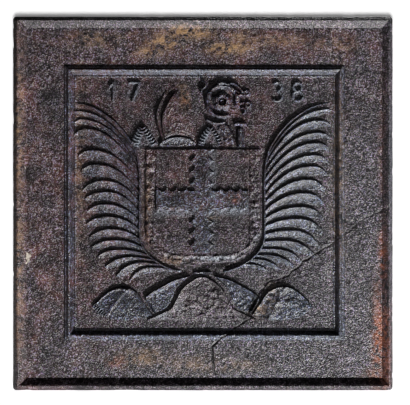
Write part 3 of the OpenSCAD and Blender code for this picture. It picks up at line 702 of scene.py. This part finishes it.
def bitten(way, first, pitch, deep, power):
    """How far a bar's edge stands out over its least: hollow bites leave a point at first and
    at every pitch from there. The higher the power, the flatter is a bite's floor."""
    from_middle = 2 * ((way - first) / pitch % 1) - 1
    return deep * abs(from_middle) ** power


def scalloped_bar(start, end, half, lift):
    """A bar with one steep edge and one softer; half is its half width, a function of x and z."""
    path = straight(start, end, 0.5)
    wide = half(path[:, 0], path[:, 1]) + 0.5 * swell(path[:, 0], path[:, 1], 8, 33)
    x, z, side = band(path, wide, 37)
    edge = (1 - abs(side)) * wide[:, None]
    run_in = np.where(side > 0, 5.0, 2.4)
    way = np.linalg.norm(path - path[0], axis=1)[:, None]
    ends = np.minimum(way, way[-1] - way) + 0.4
    return x, z, field_level(z) - bed + (cross_rise + 2.8 + lift) * rise_over((edge, run_in), (ends, 1.6))


def post_edge(x, z):
    """Half width of the upright bar at height z: its bites start apart above and below."""
    return post_half + bitten(z, np.where(z > cross_z, 33, -34), 19.8, 9.0, 1.8)


def beam_edge(x, z):
    """Half width of the bar that lies across, at x: its bites start apart left and right."""
    return beam_half + bitten(x, np.where(x > 0, 32, -27), 17.0, 6.0, 3.0)


cross_left, cross_right = cross_lo[0] - arms_x, cross_hi[0] - arms_x
cross_foot, cross_head = cross_lo[2] - panel_z, cross_hi[2] - panel_z
post = scalloped_bar((0, cross_foot), (0, cross_head), post_edge, 0.15)
beam = scalloped_bar((cross_left, cross_z), (cross_right, cross_z), beam_edge, 0)
fit(casting("scalloped_cross", post, beam, back=cross_level - 2), "worn_iron", "shield_cross")

# ---- Mitre: two horns of a bishop's hat and its rolled band ----
# The front horn stands steep on its left and dies away to the right, the back horn shows
# as a narrow strip behind it. The band is a crescent that falls towards the shield.


def smooth_line(points, per=8):
    """A smooth line through the points: a Catmull-Rom spline, per steps between neighbours."""
    p = np.array(points, float)
    q = np.vstack([2 * p[0] - p[1], p, 2 * p[-1] - p[-2]])
    t = (np.arange(per) / per)[None, :, None]
    a, b, c, d = (q[k:len(q) - 3 + k, None] for k in range(4))
    line = 2 * b + (c - a) * t + (2 * a - 5 * b + 4 * c - d) * t ** 2 + (3 * b - a - 3 * c + d) * t ** 3
    return np.vstack([line.reshape(-1, 2) / 2, p[-1:]])


def way_along(line):
    """The way in mm from a line's start, along it, to each of its points."""
    return np.concatenate([[0], np.cumsum(np.linalg.norm(np.diff(line, axis=0), axis=1))])


def evenly(line, count):
    """The same line with count points, evenly spaced along it."""
    way = way_along(line)
    at = np.linspace(0, way[-1], count)
    return np.stack([np.interp(at, way, line[:, 0]), np.interp(at, way, line[:, 1])], -1)


def span(first, second, along=60, rows=24):
    """Grid between two lines, closer together at both. Returns x, z and the distances in mm
    from the first line, the second line, the start and the end."""
    a, b = evenly(np.array(first, float), along), evenly(np.array(second, float), along)
    c = (0.5 - 0.5 * np.cos(np.pi * np.linspace(0, 1, rows)))[None, :]
    wide = np.linalg.norm(b - a, axis=1)[:, None]
    way = way_along((a + b) / 2)[:, None] + 0 * c
    return (a[:, :1] * (1 - c) + b[:, :1] * c, a[:, 1:] * (1 - c) + b[:, 1:] * c,
            c * wide, (1 - c) * wide, way, way[-1] - way)


def ridge(x, z, line, width):
    """A fine raised line: a bell curve of the distance from it."""
    return np.exp(-(near_line(x, z, smooth_line(line, 4)) / width) ** 2)


mitre_h = panel_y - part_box("mitre_front")[0].y / MM
horn_left = smooth_line([(-64, 104), (-69, 118), (-72, 133), (-72, 147), (-69.5, 158), (-62.5, 171.5),
                         (-55.5, 183.5), (-46, 196), (-39.5, 208)])
horn_right = smooth_line([(-12, 104), (-8, 124), (-6, 142), (-8, 160), (-17, 178), (-28, 192), (-36, 203),
                          (-39, 209)])
back_left = smooth_line([(-69, 104), (-74, 118), (-79, 134), (-81.5, 149), (-80, 164), (-74, 179),
                         (-66, 196), (-60.5, 208), (-58, 214)])
back_right = smooth_line([(-63, 104), (-68, 118), (-72, 133), (-72, 147), (-69, 160), (-61, 173),
                          (-53, 185), (-45, 197), (-41, 207)])


def front_horn():
    """From its left outline the horn stands up over 3 mm, then falls slowly to the right. It
    runs out just above the band."""
    x, z, left, right, _, down = span(horn_left, horn_right, 120, 90)
    over_band = z - 100 - 17 * (1 - ((x + 42.5) / 33.5) ** 2)
    edges = rise_over((left, 3.2), (down, 6), (right + 1, 36), (over_band + 3, 7))
    folds = 0
    for line, width in (([(-63, 122), (-66, 136), (-66, 150), (-62, 162)], 1.3),
                        ([(-57, 128), (-60, 142), (-58, 155), (-52, 166)], 1.2),
                        ([(-56, 132), (-46, 139), (-34, 138)], 1.3),
                        ([(-60, 121), (-41, 127), (-22, 121)], 1.2)):
        folds = folds + ridge(x, z, line, width)
    h = -bed + (mitre_h + bed) * edges + 0.7 * folds * rise_over((left, 6), (right, 10))
    return x, z, h + 0.4 * swell(x, z, 5, 37)


def back_horn():
    """A strip beside the front horn, steep on its outer side; past its crest it falls to the
    front horn."""
    x, z, left, _, up, down = span(back_left, back_right, 90, 26)
    fall = 3.4 * ramp((left - 3.4) / 4.5)
    h = -bed + (8.2 - fall) * rise_over((left, 3.0), (down + 4, 70), (up, 5))
    return x, z, h + 0.3 * swell(x, z, 4, 38)


def mitre_band():
    """A crescent: its crest follows the upper line, and its face falls to the shield."""
    upper = smooth_line([(-76, 100), (-71, 107), (-58, 114), (-41, 116.5), (-24, 114), (-13, 107), (-9, 100)])
    lower = straight((-76, 97.3), (-9, 97.3))
    x, z, top, foot, start, end = span(upper, lower, 70, 22)
    share = top / (top + foot + 1e-6)
    high = panel_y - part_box("mitre_band")[0].y / MM + 1.0
    ends = rise_over((start, 3), (end, 5))
    h = high * rise_over((top, 2.4), (foot, 1.5)) * (1 - 0.9 * share + 0.5 * share ** 2) * ends
    return x, z, -bed + h + 0.3 * swell(x, z, 5, 39) * ends


fit(casting("mitre_front_horn", front_horn()), "sooty_iron", "mitre_front")
fit(casting("mitre_back_horn", back_horn()), "rusty_iron", "mitre_back")
fit(casting("mitre_rolled_band", mitre_band()), "worn_iron", "mitre_band")

# ---- Lappets: the fringed ends of the mitre's ribbons ----
# Two pairs of low folded bands of iron. On the pattern they were cut across with a fine
# gouge to show the fringe.

fringe_pitch = 5.6


def fringed(path, half, slant):
    """A band with cuts across it, a cosine along its way; they bend by slant towards the edge."""
    line = evenly(smooth_line(path), 90)
    x, z, side = band(line, half, 17)
    way = np.linspace(0, way_along(line)[-1], 90)[:, None]
    cuts = 0.5 + 0.5 * np.cos(2 * np.pi * (way + slant * abs(side) * 6) / fringe_pitch)
    edge = (1 - abs(side)) * half
    ends = np.minimum(way, way[-1] - way) + 0.3
    return x, z, -bed + (10.0 - 5.0 * cuts) * rise_over((edge, 2.2), (ends, 3))


left_legs = [fringed([(-103.5, 131), (-110, 120), (-116, 107), (-118, 98)], 8, 0.5),
             fringed([(-103, 132), (-96, 122), (-88, 110), (-82, 99)], 6.5, 0.4)]
right_legs = [fringed([(14, 131), (6, 121), (0, 110), (-3, 99)], 6.5, 0.4),
              fringed([(15, 131), (23, 121), (29, 110), (32, 99)], 5, 0.4)]
fit(casting("lappet_left_fringe", *left_legs), "worn_iron", "lappet_left")
fit(casting("lappet_right_fringe", *right_legs), "worn_iron", "lappet_right")

# ---- Crozier: crook, leaves, flower, knop and staff ----
# The scroll is a round bar that runs in on itself. Leaves curl off its back and a rose
# stands in its eye.

crook_lo, crook_hi = in_mm(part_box("crozier_crook"))
crook_r = 35
crook_centre = ((crook_lo[0] + crook_hi[0]) / 2 - arms_x, crook_hi[2] - panel_z - crook_r)
crozier_h = panel_y - crook_lo[1]
crook_bar = 15


def polar(centre, radius, degrees):
    """Points at the radius and angle from a centre."""
    turn = np.radians(degrees)
    return np.stack([centre[0] + radius * np.cos(turn), centre[1] + radius * np.sin(turn)], -1)


def rounded_bar(path, half, height, run_in=4.0, rows=15, end=4.0):
    """A bar with a round back: its height falls off over run_in at its sides and end at its ends."""
    x, z, side = band(path, half, rows)
    half = np.broadcast_to(half, len(path))[:, None]
    way = way_along(path)[:, None]
    ends = np.minimum(way, way[-1] - way) + 0.2
    return x, z, -bed + (height + bed) * rise_over(((1 - abs(side)) * half, run_in), (ends, end))


def crook():
    """The scroll turns nearly once round its centre. Its section is a round bar that gets
    thinner; carved lobes overlap along it like scales, each rising from the last one's foot."""
    t = np.linspace(0, 1, 400)
    scale = 6.3 * t % 1
    wide = crook_bar / 2 * (1 - 0.2 * t) * (0.84 + 0.22 * np.sin(np.pi * scale) ** 0.7)
    path = polar(crook_centre, crook_r - 8.0 - 1.0 * t, -25 + 328 * t)
    x, z, h = rounded_bar(path, wide, crozier_h + 3, 6.0, 27, 5.0)
    scales = 4.6 * (1 - scale)[:, None] ** 1.5 * ramp(t * 12)[:, None]
    h = h - scales * ramp(h / 6)
    return x, z, h + 0.4 * swell(x, z, 4, 51)


def dome(centre, radius, height, hollow=0.0):
    """A round boss: rings out from its middle, a cosine in height, hollowed at its middle."""
    share = np.linspace(0.02, 1, 14)[:, None]
    turn = np.linspace(0, 2 * np.pi, 40)[None, :]
    h = height * np.cos(np.pi / 2 * share ** 2) - hollow * np.exp(-(share / 0.35) ** 2) - bed * share ** 6
    return centre[0] + radius * share * np.cos(turn), centre[1] + radius * share * np.sin(turn), h + 0 * turn


def rose():
    """The flower: five petals about a small round eye. From a moat round the eye the height
    rises steeply to the petals' broad crest, then falls to the outline."""
    share = np.linspace(0.02, 1, 60)[:, None]
    turn = np.linspace(0, 2 * np.pi, 140)[None, :]
    petal = abs(np.cos(2.5 * (turn - 0.3)))
    radius = 16.6 + 2.6 * petal
    cup = 1.4 + (crozier_h + 1.0) * ramp((share - 0.25) / 0.2) * (1 - ramp((share - 0.56) / 0.44))
    clefts = 4.0 * ramp((0.4 - petal) / 0.3) * ramp((share - 0.4) / 0.2) * ramp((1 - share) / 0.15)
    eye = 4.0 * ramp((0.24 - share) / 0.08) - 2.0 * np.exp(-(share / 0.08) ** 2)
    h = cup - clefts + eye - 2.4 * ramp((share - 0.9) / 0.1)
    return crook_centre[0] + radius * share * np.cos(turn), crook_centre[1] + radius * share * np.sin(turn), h


def curl(centre, radius, start, end, half, height):
    """A leaf that curls over: an open ring, thick in its middle and thin at its ends."""
    t = np.linspace(0, 1, 40)
    path = polar(centre, radius, start + (end - start) * t)
    return rounded_bar(path, half * np.sin(np.pi * np.clip(t, 0.06, 0.94)) ** 0.5, height, 2.6, 11, 2.0)


fit(casting("crook_scroll", crook()), "worn_iron", "crozier_crook")
leaves = [curl((67, 180), 7.5, 25, 330, 4.2, crozier_h + 1.5),
          dome((80, 171), 8, crozier_h * 0.8, 3.5), dome((77, 191), 8, crozier_h * 0.8, 3.0),
          curl((70, 160), 5, 150, -110, 3.4, crozier_h + 1), curl((0, 205), 6, -150, 110, 3.4, crozier_h + 1)]
for half, line in ((3.8, [(46, 209), (56, 206), (66, 199), (71, 190)]),
                   (2.8, [(52, 197), (60, 194), (66, 188)]),
                   (4.4, [(5, 146), (18, 139.5), (30, 138), (42, 141)]),
                   (2.6, [(-3, 190), (0, 197), (7, 203)]),
                   (7.0, [(25, 205), (36, 208), (50, 203)])):
    leaves.append(rounded_bar(smooth_line(line, 12), half, crozier_h + 2.0, half * 0.95, 17, 4.0))
fit(casting("crook_leaves", *leaves), "worn_iron", "crozier_leaves")
fit(casting("crook_rose", rose()), "worn_iron", "crozier_flower")

knop_lo, knop_hi = in_mm(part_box("crozier_knop"))
staff_lo, staff_hi = in_mm(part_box("crozier_staff"))
staff_x = (staff_lo[0] + staff_hi[0]) / 2 - arms_x
knop_z = (knop_lo[2] + knop_hi[2]) / 2 - panel_z
knop_line = straight((staff_x - 12.4, knop_z), (staff_x + 12.4, knop_z), 0.7)
knop_half = 6.0 * np.sqrt(np.clip(1 - (np.linspace(-1, 1, len(knop_line)) * 0.97) ** 4, 0.04, 1))
knop = rounded_bar(knop_line, knop_half, crozier_h - 0.6, 4.5, 17, 2.5)
fit(casting("knop", knop), "worn_iron", "crozier_knop")

staff_line = straight((staff_x, staff_lo[2] - panel_z), (staff_x, staff_hi[2] - panel_z), 0.8)
staff = rounded_bar(staff_line, 8.0, crozier_h + 0.5, 6.5, 17, 1.5)
# A rumpled cloth hangs from the knop, beside the staff
cloth_line = smooth_line([(27, 135), (40, 128), (47, 114), (45, 102)], 20)
x, z, h = rounded_bar(cloth_line, 12, 5.0, 7.0, 31, 6.0)
h = h + ramp(h / 2) * (1.6 * swell(x, z, 8, 52) + 1.0 * swell(x, z, 4.5, 53))
fit(casting("staff", staff, (x, z, h)), "worn_iron", "crozier_staff")

# ---- Palms: two fronds, each a stem with long leaves that overlap like shingles ----
# Each leaf was carved steep at its upper edge and hollow below it, so it catches the light
# along its lower edge.

palm_lo, palm_hi = in_mm(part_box("palm_right"))
knot_lo, knot_hi = in_mm(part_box("knot"))
knot_z = (knot_lo[2] + knot_hi[2]) / 2 - panel_z
stem_w, stem_sag = 6, 4
stem_x = shield_half + 2 + stem_w / 2
palm_reach = (panel_right - arms_x) - 0.5
palm_head = palm_hi[2] - panel_z
palm_h = 6.0
stem_h = panel_y - palm_lo[1]


def palm_at(u, v):
    """Board point in the palm's own measure: across, 0 is the stem beside the shield, 1 the
    side of the panel and -1 the middle; up, 0 is the panel's middle, 1 the palm's head and
    -1 the knot."""
    x = stem_x * (1 + u) if u < 0 else stem_x + u * (palm_reach - stem_x)
    return x, (-v * knot_z if v < 0 else v * palm_head)


def foot_at(degrees):
    """Point of the stem beside the shield's round foot, degrees down from its straight side."""
    t = np.radians(degrees)
    return (stem_x * np.cos(t),
            shield_foot + foot_round - (foot_round + stem_x - shield_half + stem_sag) * np.sin(t))


stem_head = [(0, 0), (0, 0.25), (0.04, 0.46), (0.14, 0.61), (0.36, 0.79), (0.67, 0.93), (0.98, 0.99)]
stem_line = smooth_line([palm_at(-0.8, -1)] + [foot_at(t) for t in (64, 48, 32, 16, 0)] +
                        [palm_at(*p) for p in stem_head], 5)

# Tip and crown of each leaf, from the palm's head down to the knot
left_leaves = [
    ((1, 0.9), (0.93, 0.91)), ((0.98, 0.78), (0.86, 0.83)), ((0.99, 0.65), (0.8, 0.74)),
    ((0.93, 0.45), (0.7, 0.53)), ((0.87, 0.32), (0.64, 0.39)), ((0.86, 0.12), (0.53, 0.23)),
    ((0.83, 0.04), (0.5, 0.12)), ((0.78, -0.11), (0.5, 0)), ((0.8, -0.3), (0.46, -0.18)),
    ((0.76, -0.5), (0.42, -0.36)), ((0.73, -0.64), (0.38, -0.52)), ((0.64, -0.77), (0.34, -0.66)),
    ((0.53, -0.92), (0.14, -0.77)), ((0.37, -1.06), (-0.02, -0.85)), ((0.18, -1.15), (-0.16, -0.92)),
    ((0.13, -1.18), (-0.26, -1.01))]
right_leaves = [
    ((0.99, 0.92), (0.93, 0.93)), ((0.99, 0.76), (0.8, 0.82)), ((0.99, 0.64), (0.79, 0.7)),
    ((0.96, 0.53), (0.77, 0.6)), ((0.96, 0.39), (0.75, 0.48)), ((0.93, 0.29), (0.7, 0.37)),
    ((0.9, 0.14), (0.64, 0.24)), ((0.88, -0.01), (0.6, 0.11)), ((0.88, -0.22), (0.54, -0.04)),
    ((0.87, -0.41), (0.5, -0.21)), ((0.83, -0.63), (0.42, -0.38)), ((0.78, -0.78), (0.3, -0.53)),
    ((0.58, -0.86), (0.16, -0.65)), ((0.47, -0.93), (0.02, -0.74)), ((0.25, -0.96), (-0.16, -0.8)),
    ((0.08, -0.98), (-0.27, -0.87)), ((0.03, -1.03), (-0.33, -0.94))]


def bow(a, b, c, count):
    """A quadratic Bezier curve from a to c that leans on b."""
    t = np.linspace(0, 1, count)[:, None]
    return np.array(a) * (1 - t) ** 2 + 2 * np.array(b) * t * (1 - t) + np.array(c) * t ** 2


def leaf_edge(row, root):
    """Upper edge of a leaf, from its tip up to its crown and down to its root on the stem."""
    tip, crown = palm_at(*row[0]), palm_at(*row[1])
    rise = bow(tip, (tip[0] + 0.35 * (crown[0] - tip[0]), crown[1]), crown, 20)
    fall = bow(crown, (crown[0] + 0.55 * (root[0] - crown[0]), crown[1]), root, 40)
    return evenly(np.vstack([rise[:-1], fall]), 56)


def palm_leaf(upper, following, mirror, seed):
    """One leaf between its upper edge and the next leaf's. Across it, the height rises over
    2 mm, then falls in a hollow curve to its lower edge, which is sunk into the panel."""
    s = np.linspace(0, 1, len(upper))[:, None]
    lower = upper + (following - upper) * 0.93 * np.minimum(1, 0.3 + 2.5 * s)
    c = (0.5 - 0.5 * np.cos(np.pi * np.linspace(0, 1, 15)))[None, :]
    x = upper[:, :1] * (1 - c) + lower[:, :1] * c
    z = upper[:, 1:] * (1 - c) + lower[:, 1:] * c
    wide = np.linalg.norm(lower - upper, axis=1)[:, None]
    steep = ramp(c * wide / 2.4 + 0.1)
    hollow = (1 - c) ** 2.3
    uneven = 0.35 * swell(x, z, 9, seed) + 0.2 * swell(x, z, 4, seed + 1)
    high = (palm_h + 1.6) * np.minimum(1, 0.55 + 1.5 * s)
    h = -bed + (bed + high * (0.12 + 0.88 * hollow) + uneven) * steep * ramp((s + 0.01) / 0.05)
    return mirror * x, z, h - bed * ramp((c - 0.86) / 0.14)


def palm(rows, last, mirror, seed):
    """The leaves of one palm and its stem; its lowest leaf springs at the share last of the
    way up the stem."""
    way = way_along(stem_line)
    rising = np.argsort(stem_line[:, 1])
    end = np.interp(palm_at(0, 0.46)[1], stem_line[rising, 1], way[rising])
    places = (last + (1 - last) * (1 - np.arange(len(rows)) / (len(rows) - 1))) * end
    roots = [(np.interp(at, way, stem_line[:, 0]), np.interp(at, way, stem_line[:, 1])) for at in places]
    edges = [leaf_edge(row, root) for row, root in zip(rows, roots)]
    shells = [palm_leaf(a, b, mirror, seed + 2 * k) for k, (a, b) in enumerate(zip(edges[:-1], edges[1:]))]
    # The stem starts low, where the knot's ribbon lies over it
    path = evenly(stem_line, 240)[8:]
    half = stem_w / 2 * np.minimum(1, 0.3 + 4 * (1 - np.linspace(0, 1, len(path))))
    x, z, h = rounded_bar(path, half, stem_h - 0.7, 2.6, 11, 2.0)
    h = np.minimum(h, 1.0 + stem_h * ramp(np.arange(len(path)) / 9)[:, None])
    shells.append((mirror * x, z, h))
    return shells


fit(casting("palm_left_frond", *palm(left_leaves, 0.06, -1, 40)), "worn_iron", "palm_left")
fit(casting("palm_right_frond", *palm(right_leaves, 0.16, 1, 80)), "worn_iron", "palm_right")

# ---- Knot, tied stems and ribbon ----
# A ribbon ties the two palms: its ends run down under the shield, then swell up and come
# down again in a fringe. The palms' cut stems spread out between them.

ribbon_h = panel_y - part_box("ribbon_left")[0].y / MM
ribbon_drop = knot_z - (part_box("stem_ends")[0].z / MM - panel_z)


def ribbon_line(points, per=10, mirror=1):
    """A smooth line through points that are shares of the panel's half width and of the
    space under the knot."""
    return smooth_line([(mirror * u * palm_reach, knot_z + v * ribbon_drop) for u, v in points], per)


knot_line = straight((-17.6, knot_z), (17.6, knot_z), 0.7)
knot_h = panel_y - knot_lo[1]
fit(casting("ribbon_knot", rounded_bar(knot_line, 4.8, knot_h - 2.6, 4.6, 15, 5.0)), "worn_iron", "knot")


def tied_stems():
    """The cut stems: steep and high along both sides, where they are smooth, and a rough,
    broken bundle between; the whole falls downwards."""
    edge = [(0.023, -0.075), (0.1, -0.19), (0.165, -0.34), (0.205, -0.53), (0.25, -0.74), (0.3, -0.81),
            (0.345, -0.87), (0.42, -0.96), (0.43, -1)]
    x, z, left, right, up, down = span(ribbon_line(edge, 8, -1), ribbon_line(edge, 8, 1), 120, 150)
    bank = 3.6 * np.exp(-left / 11) + 2.6 * np.exp(-right / 8)
    fall = ribbon_h - 0.4 + bank - 3.5 * ramp((up - 20) / 75)
    ground = swell(x, z, 11, 130) + 0.6 * swell(x, z, 4.5, 131) + 0.4 * swell(x, z, 2.8, 132)
    cracks = 1.3 * ramp((swell(x, z, 7, 133) - 0.5) / 0.2)
    above = ramp((z + 215) / 25)
    rough = (0.9 * ground - cracks) * ramp((left - 12) / 10) * ramp((right - 6) / 8) * above + 0.25 * ground
    edges = rise_over((left, 3.2), (right, 3.2), (up, 2), (down + 0.2, 4))
    return x, z, -bed + (fall + bed + rough) * edges


fit(casting("cut_stems", tied_stems()), "rusty_iron", "stem_ends")

run_upper = [(0.09, -0.04), (0.23, -0.15), (0.34, -0.31), (0.43, -0.46), (0.437, -0.58), (0.378, -0.84)]
run_lower = [(0.09, -0.08), (0.19, -0.32), (0.225, -0.53), (0.275, -0.73), (0.365, -0.84)]
loop_upper = [(0.375, -0.86), (0.45, -0.58), (0.495, -0.4), (0.55, -0.305), (0.62, -0.26), (0.685, -0.295),
              (0.74, -0.39), (0.8, -0.53), (0.855, -0.69)]
loop_lower = [(0.38, -0.87), (0.39, -0.88), (0.46, -0.95), (0.57, -0.99), (0.69, -0.965), (0.77, -0.895),
              (0.85, -0.7)]


def ribbon(mirror, seed, wear, fold, hung):
    """The run from the knot is a ridge along its upper line over a low floor. The loop below
    it stands steep at its top; past a fold its end hangs over in a flap with a hem and a
    fringe. Wear is the height of the lumps that rust has left, fold the shares of the way
    along the loop at which the fold starts above and ends below. The flap hangs over where hung
    is 1; where it is 0, only the fold's ridge is left."""
    x, z, top, foot, up, down = span(ribbon_line(run_upper, 12, mirror), ribbon_line(run_lower, 12, mirror),
                                     90, 40)
    ridge_h = ribbon_h + 2.4 - (ribbon_h + 0.6) * ramp((top - 2.5) / 7)
    lumps = wear * (swell(x, z, 8, seed) + 0.7 * swell(x, z, 4, seed + 2))
    h = (ridge_h + bed) * rise_over((top, 2.8), (foot, 2.2), (up + 0.5, 3), (down + 0.5, 2))
    run = x, z, h - bed + lumps * rise_over((top, 3), (foot, 3))

    x, z, top, foot, up, down = span(ribbon_line(loop_upper, 12, mirror), ribbon_line(loop_lower, 12, mirror),
                                     150, 90)
    share = top / (top + foot + 1e-6)
    past = up - (up + down) * (fold[0] + (fold[1] - fold[0]) * share)
    fold_ridge = 3.0 * (1 - hung) * np.exp(-abs(past) / 9)
    crest = 4.4 * np.exp(-(top / 7) ** 2)
    belly = 1.0 * np.exp(-((share - 0.6) / 0.25) ** 2)
    front = 3.0 + fold_ridge + crest + belly
    flap = 3.4 + 3.8 * np.exp(-np.maximum(past, 0) / 12) + 1.8 * np.exp(-((top - 6) / 1.8) ** 2)
    hem = ribbon_line([(0.86, -0.66), (0.745, -0.92)], 12, mirror)
    dx, dz = hem[-1] - hem[0]
    along = ((x - hem[0, 0]) * dx + (z - hem[0, 1]) * dz) / np.hypot(dx, dz)
    cuts = 0.5 + 0.5 * np.cos(2 * np.pi * along / 4.2)
    fringe = 4.2 * cuts * ramp((7.5 - near_line(x, z, hem)) / 1.5)
    over = hung * ramp(past / 1.8 + 0.5)
    lumps = wear * (swell(x, z, 9, seed + 1) + 0.7 * swell(x, z, 4.5, seed + 3))
    h = (front * (1 - over) + flap * over - fringe * over + bed) * rise_over(
        (top, 3.0), (foot, 2.6), (up + 0.5, 3), (down + 0.5, 2))
    loop = x, z, h - bed + lumps * rise_over((top, 3), (foot, 3))
    return run, loop


fit(casting("ribbon_left_end", *ribbon(-1, 140, 0.35, (0.42, 0.77), 1)), "worn_iron", "ribbon_left")
fit(casting("ribbon_right_end", *ribbon(1, 145, 0.9, (0.6, 0.22), 0)), "worn_iron", "ribbon_right")

# ---- Numerals: a plain 1, 7, 3 and 8 ----
# Iron strokes with nearly flat tops. On the pattern they were thin strips, cut out with a
# knife and pinned to the board.

numeral_h = panel_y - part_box("numeral_1")[0].y / MM
stroke_w = 6.0


def stroke(path):
    """A strip along a line, a stroke wide, with a nearly flat top and soft edges."""
    return rounded_bar(path, stroke_w / 2 + 0.4, numeral_h + 1.2, 2.0, 11, 1.8)


def numeral_box(number):
    """Middle, foot and head of a numeral on the board, from the frame."""
    lo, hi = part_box(f"numeral_{number}")
    return (lo.x + hi.x) / 2 / MM - arms_x, lo.z / MM - panel_z, hi.z / MM - panel_z


def bowl(middle, centre_z, radius, start, end):
    """Part of a ring from start to end in degrees, as 3 and 8 are made of."""
    turn = np.linspace(start, end, int(abs(end - start) / 4))
    return stroke(polar((middle, centre_z), radius - stroke_w / 2, turn))


x1, foot1, head1 = numeral_box(1)
tall = head1 - foot1
half_stroke = stroke_w / 2
stem1 = x1 + 0.09 * tall
fit(casting("numeral_one", stroke(straight((stem1, foot1 + 0.3), (stem1, head1 - 0.3), 0.8)),
            stroke(straight((stem1 - 0.18 * tall, foot1 + 0.72 * tall), (stem1, head1 - half_stroke), 0.8))),
    "worn_iron", "numeral_1")
x2, foot2, head2 = numeral_box(2)
left2, right2, bar2 = x2 - 0.24 * tall, x2 + 0.24 * tall, head2 - half_stroke
fit(casting("numeral_seven", stroke(straight((left2 - 2, bar2), (right2 + 2, bar2), 0.8)),
            stroke(straight((right2, bar2), (x2 - 0.1 * tall, foot2 + 1), 0.8))), "worn_iron", "numeral_2")
lower_r = (tall + stroke_w) / 3.8
upper_r = 0.9 * lower_r
_, foot3, head3 = numeral_box(3)
x3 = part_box("numeral_3")[1].x / MM - arms_x - lower_r
fit(casting("numeral_three", bowl(x3, foot3 + lower_r, lower_r, -150, 92),
            bowl(x3, head3 - upper_r, upper_r, -92, 150)), "worn_iron", "numeral_3")
x4, foot4, head4 = numeral_box(4)
fit(casting("numeral_eight", bowl(x4, foot4 + lower_r, lower_r, 0, 364),
            bowl(x4, head4 - upper_r, upper_r, 0, 364)), "worn_iron", "numeral_4")

# ---- Stage: pale floor and wall, lamps and camera ----
# The light comes from low on the right, so that every raised form is dark above and bright
# below. Floor and wall are white paper. A lamp of its own lights the wall, on which the
# plate throws a soft shadow.


def sheet(name, corners):
    """A flat sheet with the given corners, in metres."""
    mesh = bpy.data.meshes.new(name)
    mesh.from_pydata(corners, [], [(0, 1, 2, 3)])
    piece = bpy.data.objects.new(name, mesh)
    bpy.context.collection.objects.link(piece)
    return piece


def paper(name, glow, mirrored):
    """White paper, seen from one side only. A glow keeps it white to the eye, and its mirror
    image in the iron has the share mirrored of that glow."""
    material = bpy.data.materials.new(name)
    material.use_nodes = True
    tree = material.node_tree
    tree.nodes.clear()
    rays = add(tree, "ShaderNodeLightPath").outputs
    glossy = add(tree, "ShaderNodeMath", {"operation": "MULTIPLY"}, _0=rays["Is Glossy Ray"],
                 _1=mirrored).outputs[0]
    seen = add(tree, "ShaderNodeMath", {"operation": "MAXIMUM"}, _0=rays["Is Camera Ray"],
               _1=glossy).outputs[0]
    strength = add(tree, "ShaderNodeMath", {"operation": "MULTIPLY"}, _0=seen, _1=glow).outputs[0]
    matt = add(tree, "ShaderNodeBsdfDiffuse", Color=linear("#f6f6f6")).outputs[0]
    light = add(tree, "ShaderNodeEmission", Color=linear("#ffffff"), Strength=strength).outputs[0]
    both = add(tree, "ShaderNodeAddShader", _0=matt, _1=light).outputs[0]
    clear = add(tree, "ShaderNodeBsdfTransparent").outputs[0]
    behind = add(tree, "ShaderNodeNewGeometry").outputs["Backfacing"]
    add(tree, "ShaderNodeOutputMaterial",
        Surface=add(tree, "ShaderNodeMixShader", _0=behind, _1=both, _2=clear).outputs[0])
    return material


wall_y = plate_hi[1] * MM + 0.001
floor = sheet("floor", [(-6, -6, 0), (6, -6, 0), (6, 6, 0), (-6, 6, 0)])
floor.data.materials.append(paper("floor_paper", 1.0, 0.35))
wall = sheet("wall", [(-6, wall_y, 0), (6, wall_y, 0), (6, wall_y, 6), (-6, wall_y, 6)])
wall.data.materials.append(paper("wall_paper", 0.2, 0.0))
floor.visible_shadow = False
wall.visible_shadow = False
wall.visible_diffuse = False
wall.visible_glossy = False

middle = np.array([0, 0, (plate_lo[2] + plate_hi[2]) / 2]) * MM


def lamp(name, direction, distance, size, power, wall_link):
    """A soft rectangular lamp that stands in the given direction from the plate and faces it.
    The wall is either the one thing that it lights or the one thing that it leaves out."""
    data = bpy.data.lights.new(name, "AREA")
    data.shape = "RECTANGLE"
    data.size, data.size_y = size
    data.energy = power
    thing = bpy.data.objects.new(name, data)
    away = Vector(direction).normalized()
    thing.location = Vector(middle) + away * distance
    thing.rotation_euler = away.to_track_quat("Z", "Y").to_euler()
    bpy.context.collection.objects.link(thing)
    lit = bpy.data.collections.new(f"lit_by_{name}")
    lit.objects.link(wall)
    lit.collection_objects[0].light_linking.link_state = wall_link
    thing.light_linking.receiver_collection = lit
    return thing


lamp("low_right_lamp", (0.42, -0.52, -0.72), 4.0, (0.6, 0.6), 284, "EXCLUDE")
lamp("back_lamp", (0.3, 0.75, 0.6), 3.0, (1.5, 1.5), 60, "EXCLUDE")
lamp("wall_lamp", (0.0, -0.95, -0.32), 3.0, (1.0, 1.0), 100, "INCLUDE")

world = bpy.data.worlds.new("plain_room")
world.use_nodes = True
sky = world.node_tree.nodes["Background"].inputs
sky["Color"].default_value = (1, 1, 1, 1)
to_camera = add(world.node_tree, "ShaderNodeLightPath").outputs["Is Camera Ray"]
sky_light = add(world.node_tree, "ShaderNodeMath", {"operation": "MULTIPLY_ADD"}, _0=to_camera, _1=0.9,
                _2=0.02).outputs[0]
world.node_tree.links.new(sky_light, sky["Strength"])
bpy.context.scene.world = world
bpy.context.scene.view_settings.view_transform = "Standard"

# The plate's middle lies a little left of and below the middle of the photograph
photo_wide = 410
left_by, below_by = 2.25, 1.0
pixel = 1.737 * MM
camera_data = bpy.data.cameras.new("camera")
camera_data.lens, camera_data.sensor_width = 120, 36
camera = bpy.data.objects.new("camera", camera_data)
distance = photo_wide * pixel * camera_data.lens / camera_data.sensor_width
camera.location = (left_by * pixel, rim_foot_y * MM - distance, middle[2] + below_by * pixel)
camera.rotation_euler = (np.pi / 2, 0, 0)
camera_data.clip_end = 50
bpy.context.collection.objects.link(camera)
bpy.context.scene.camera = camera
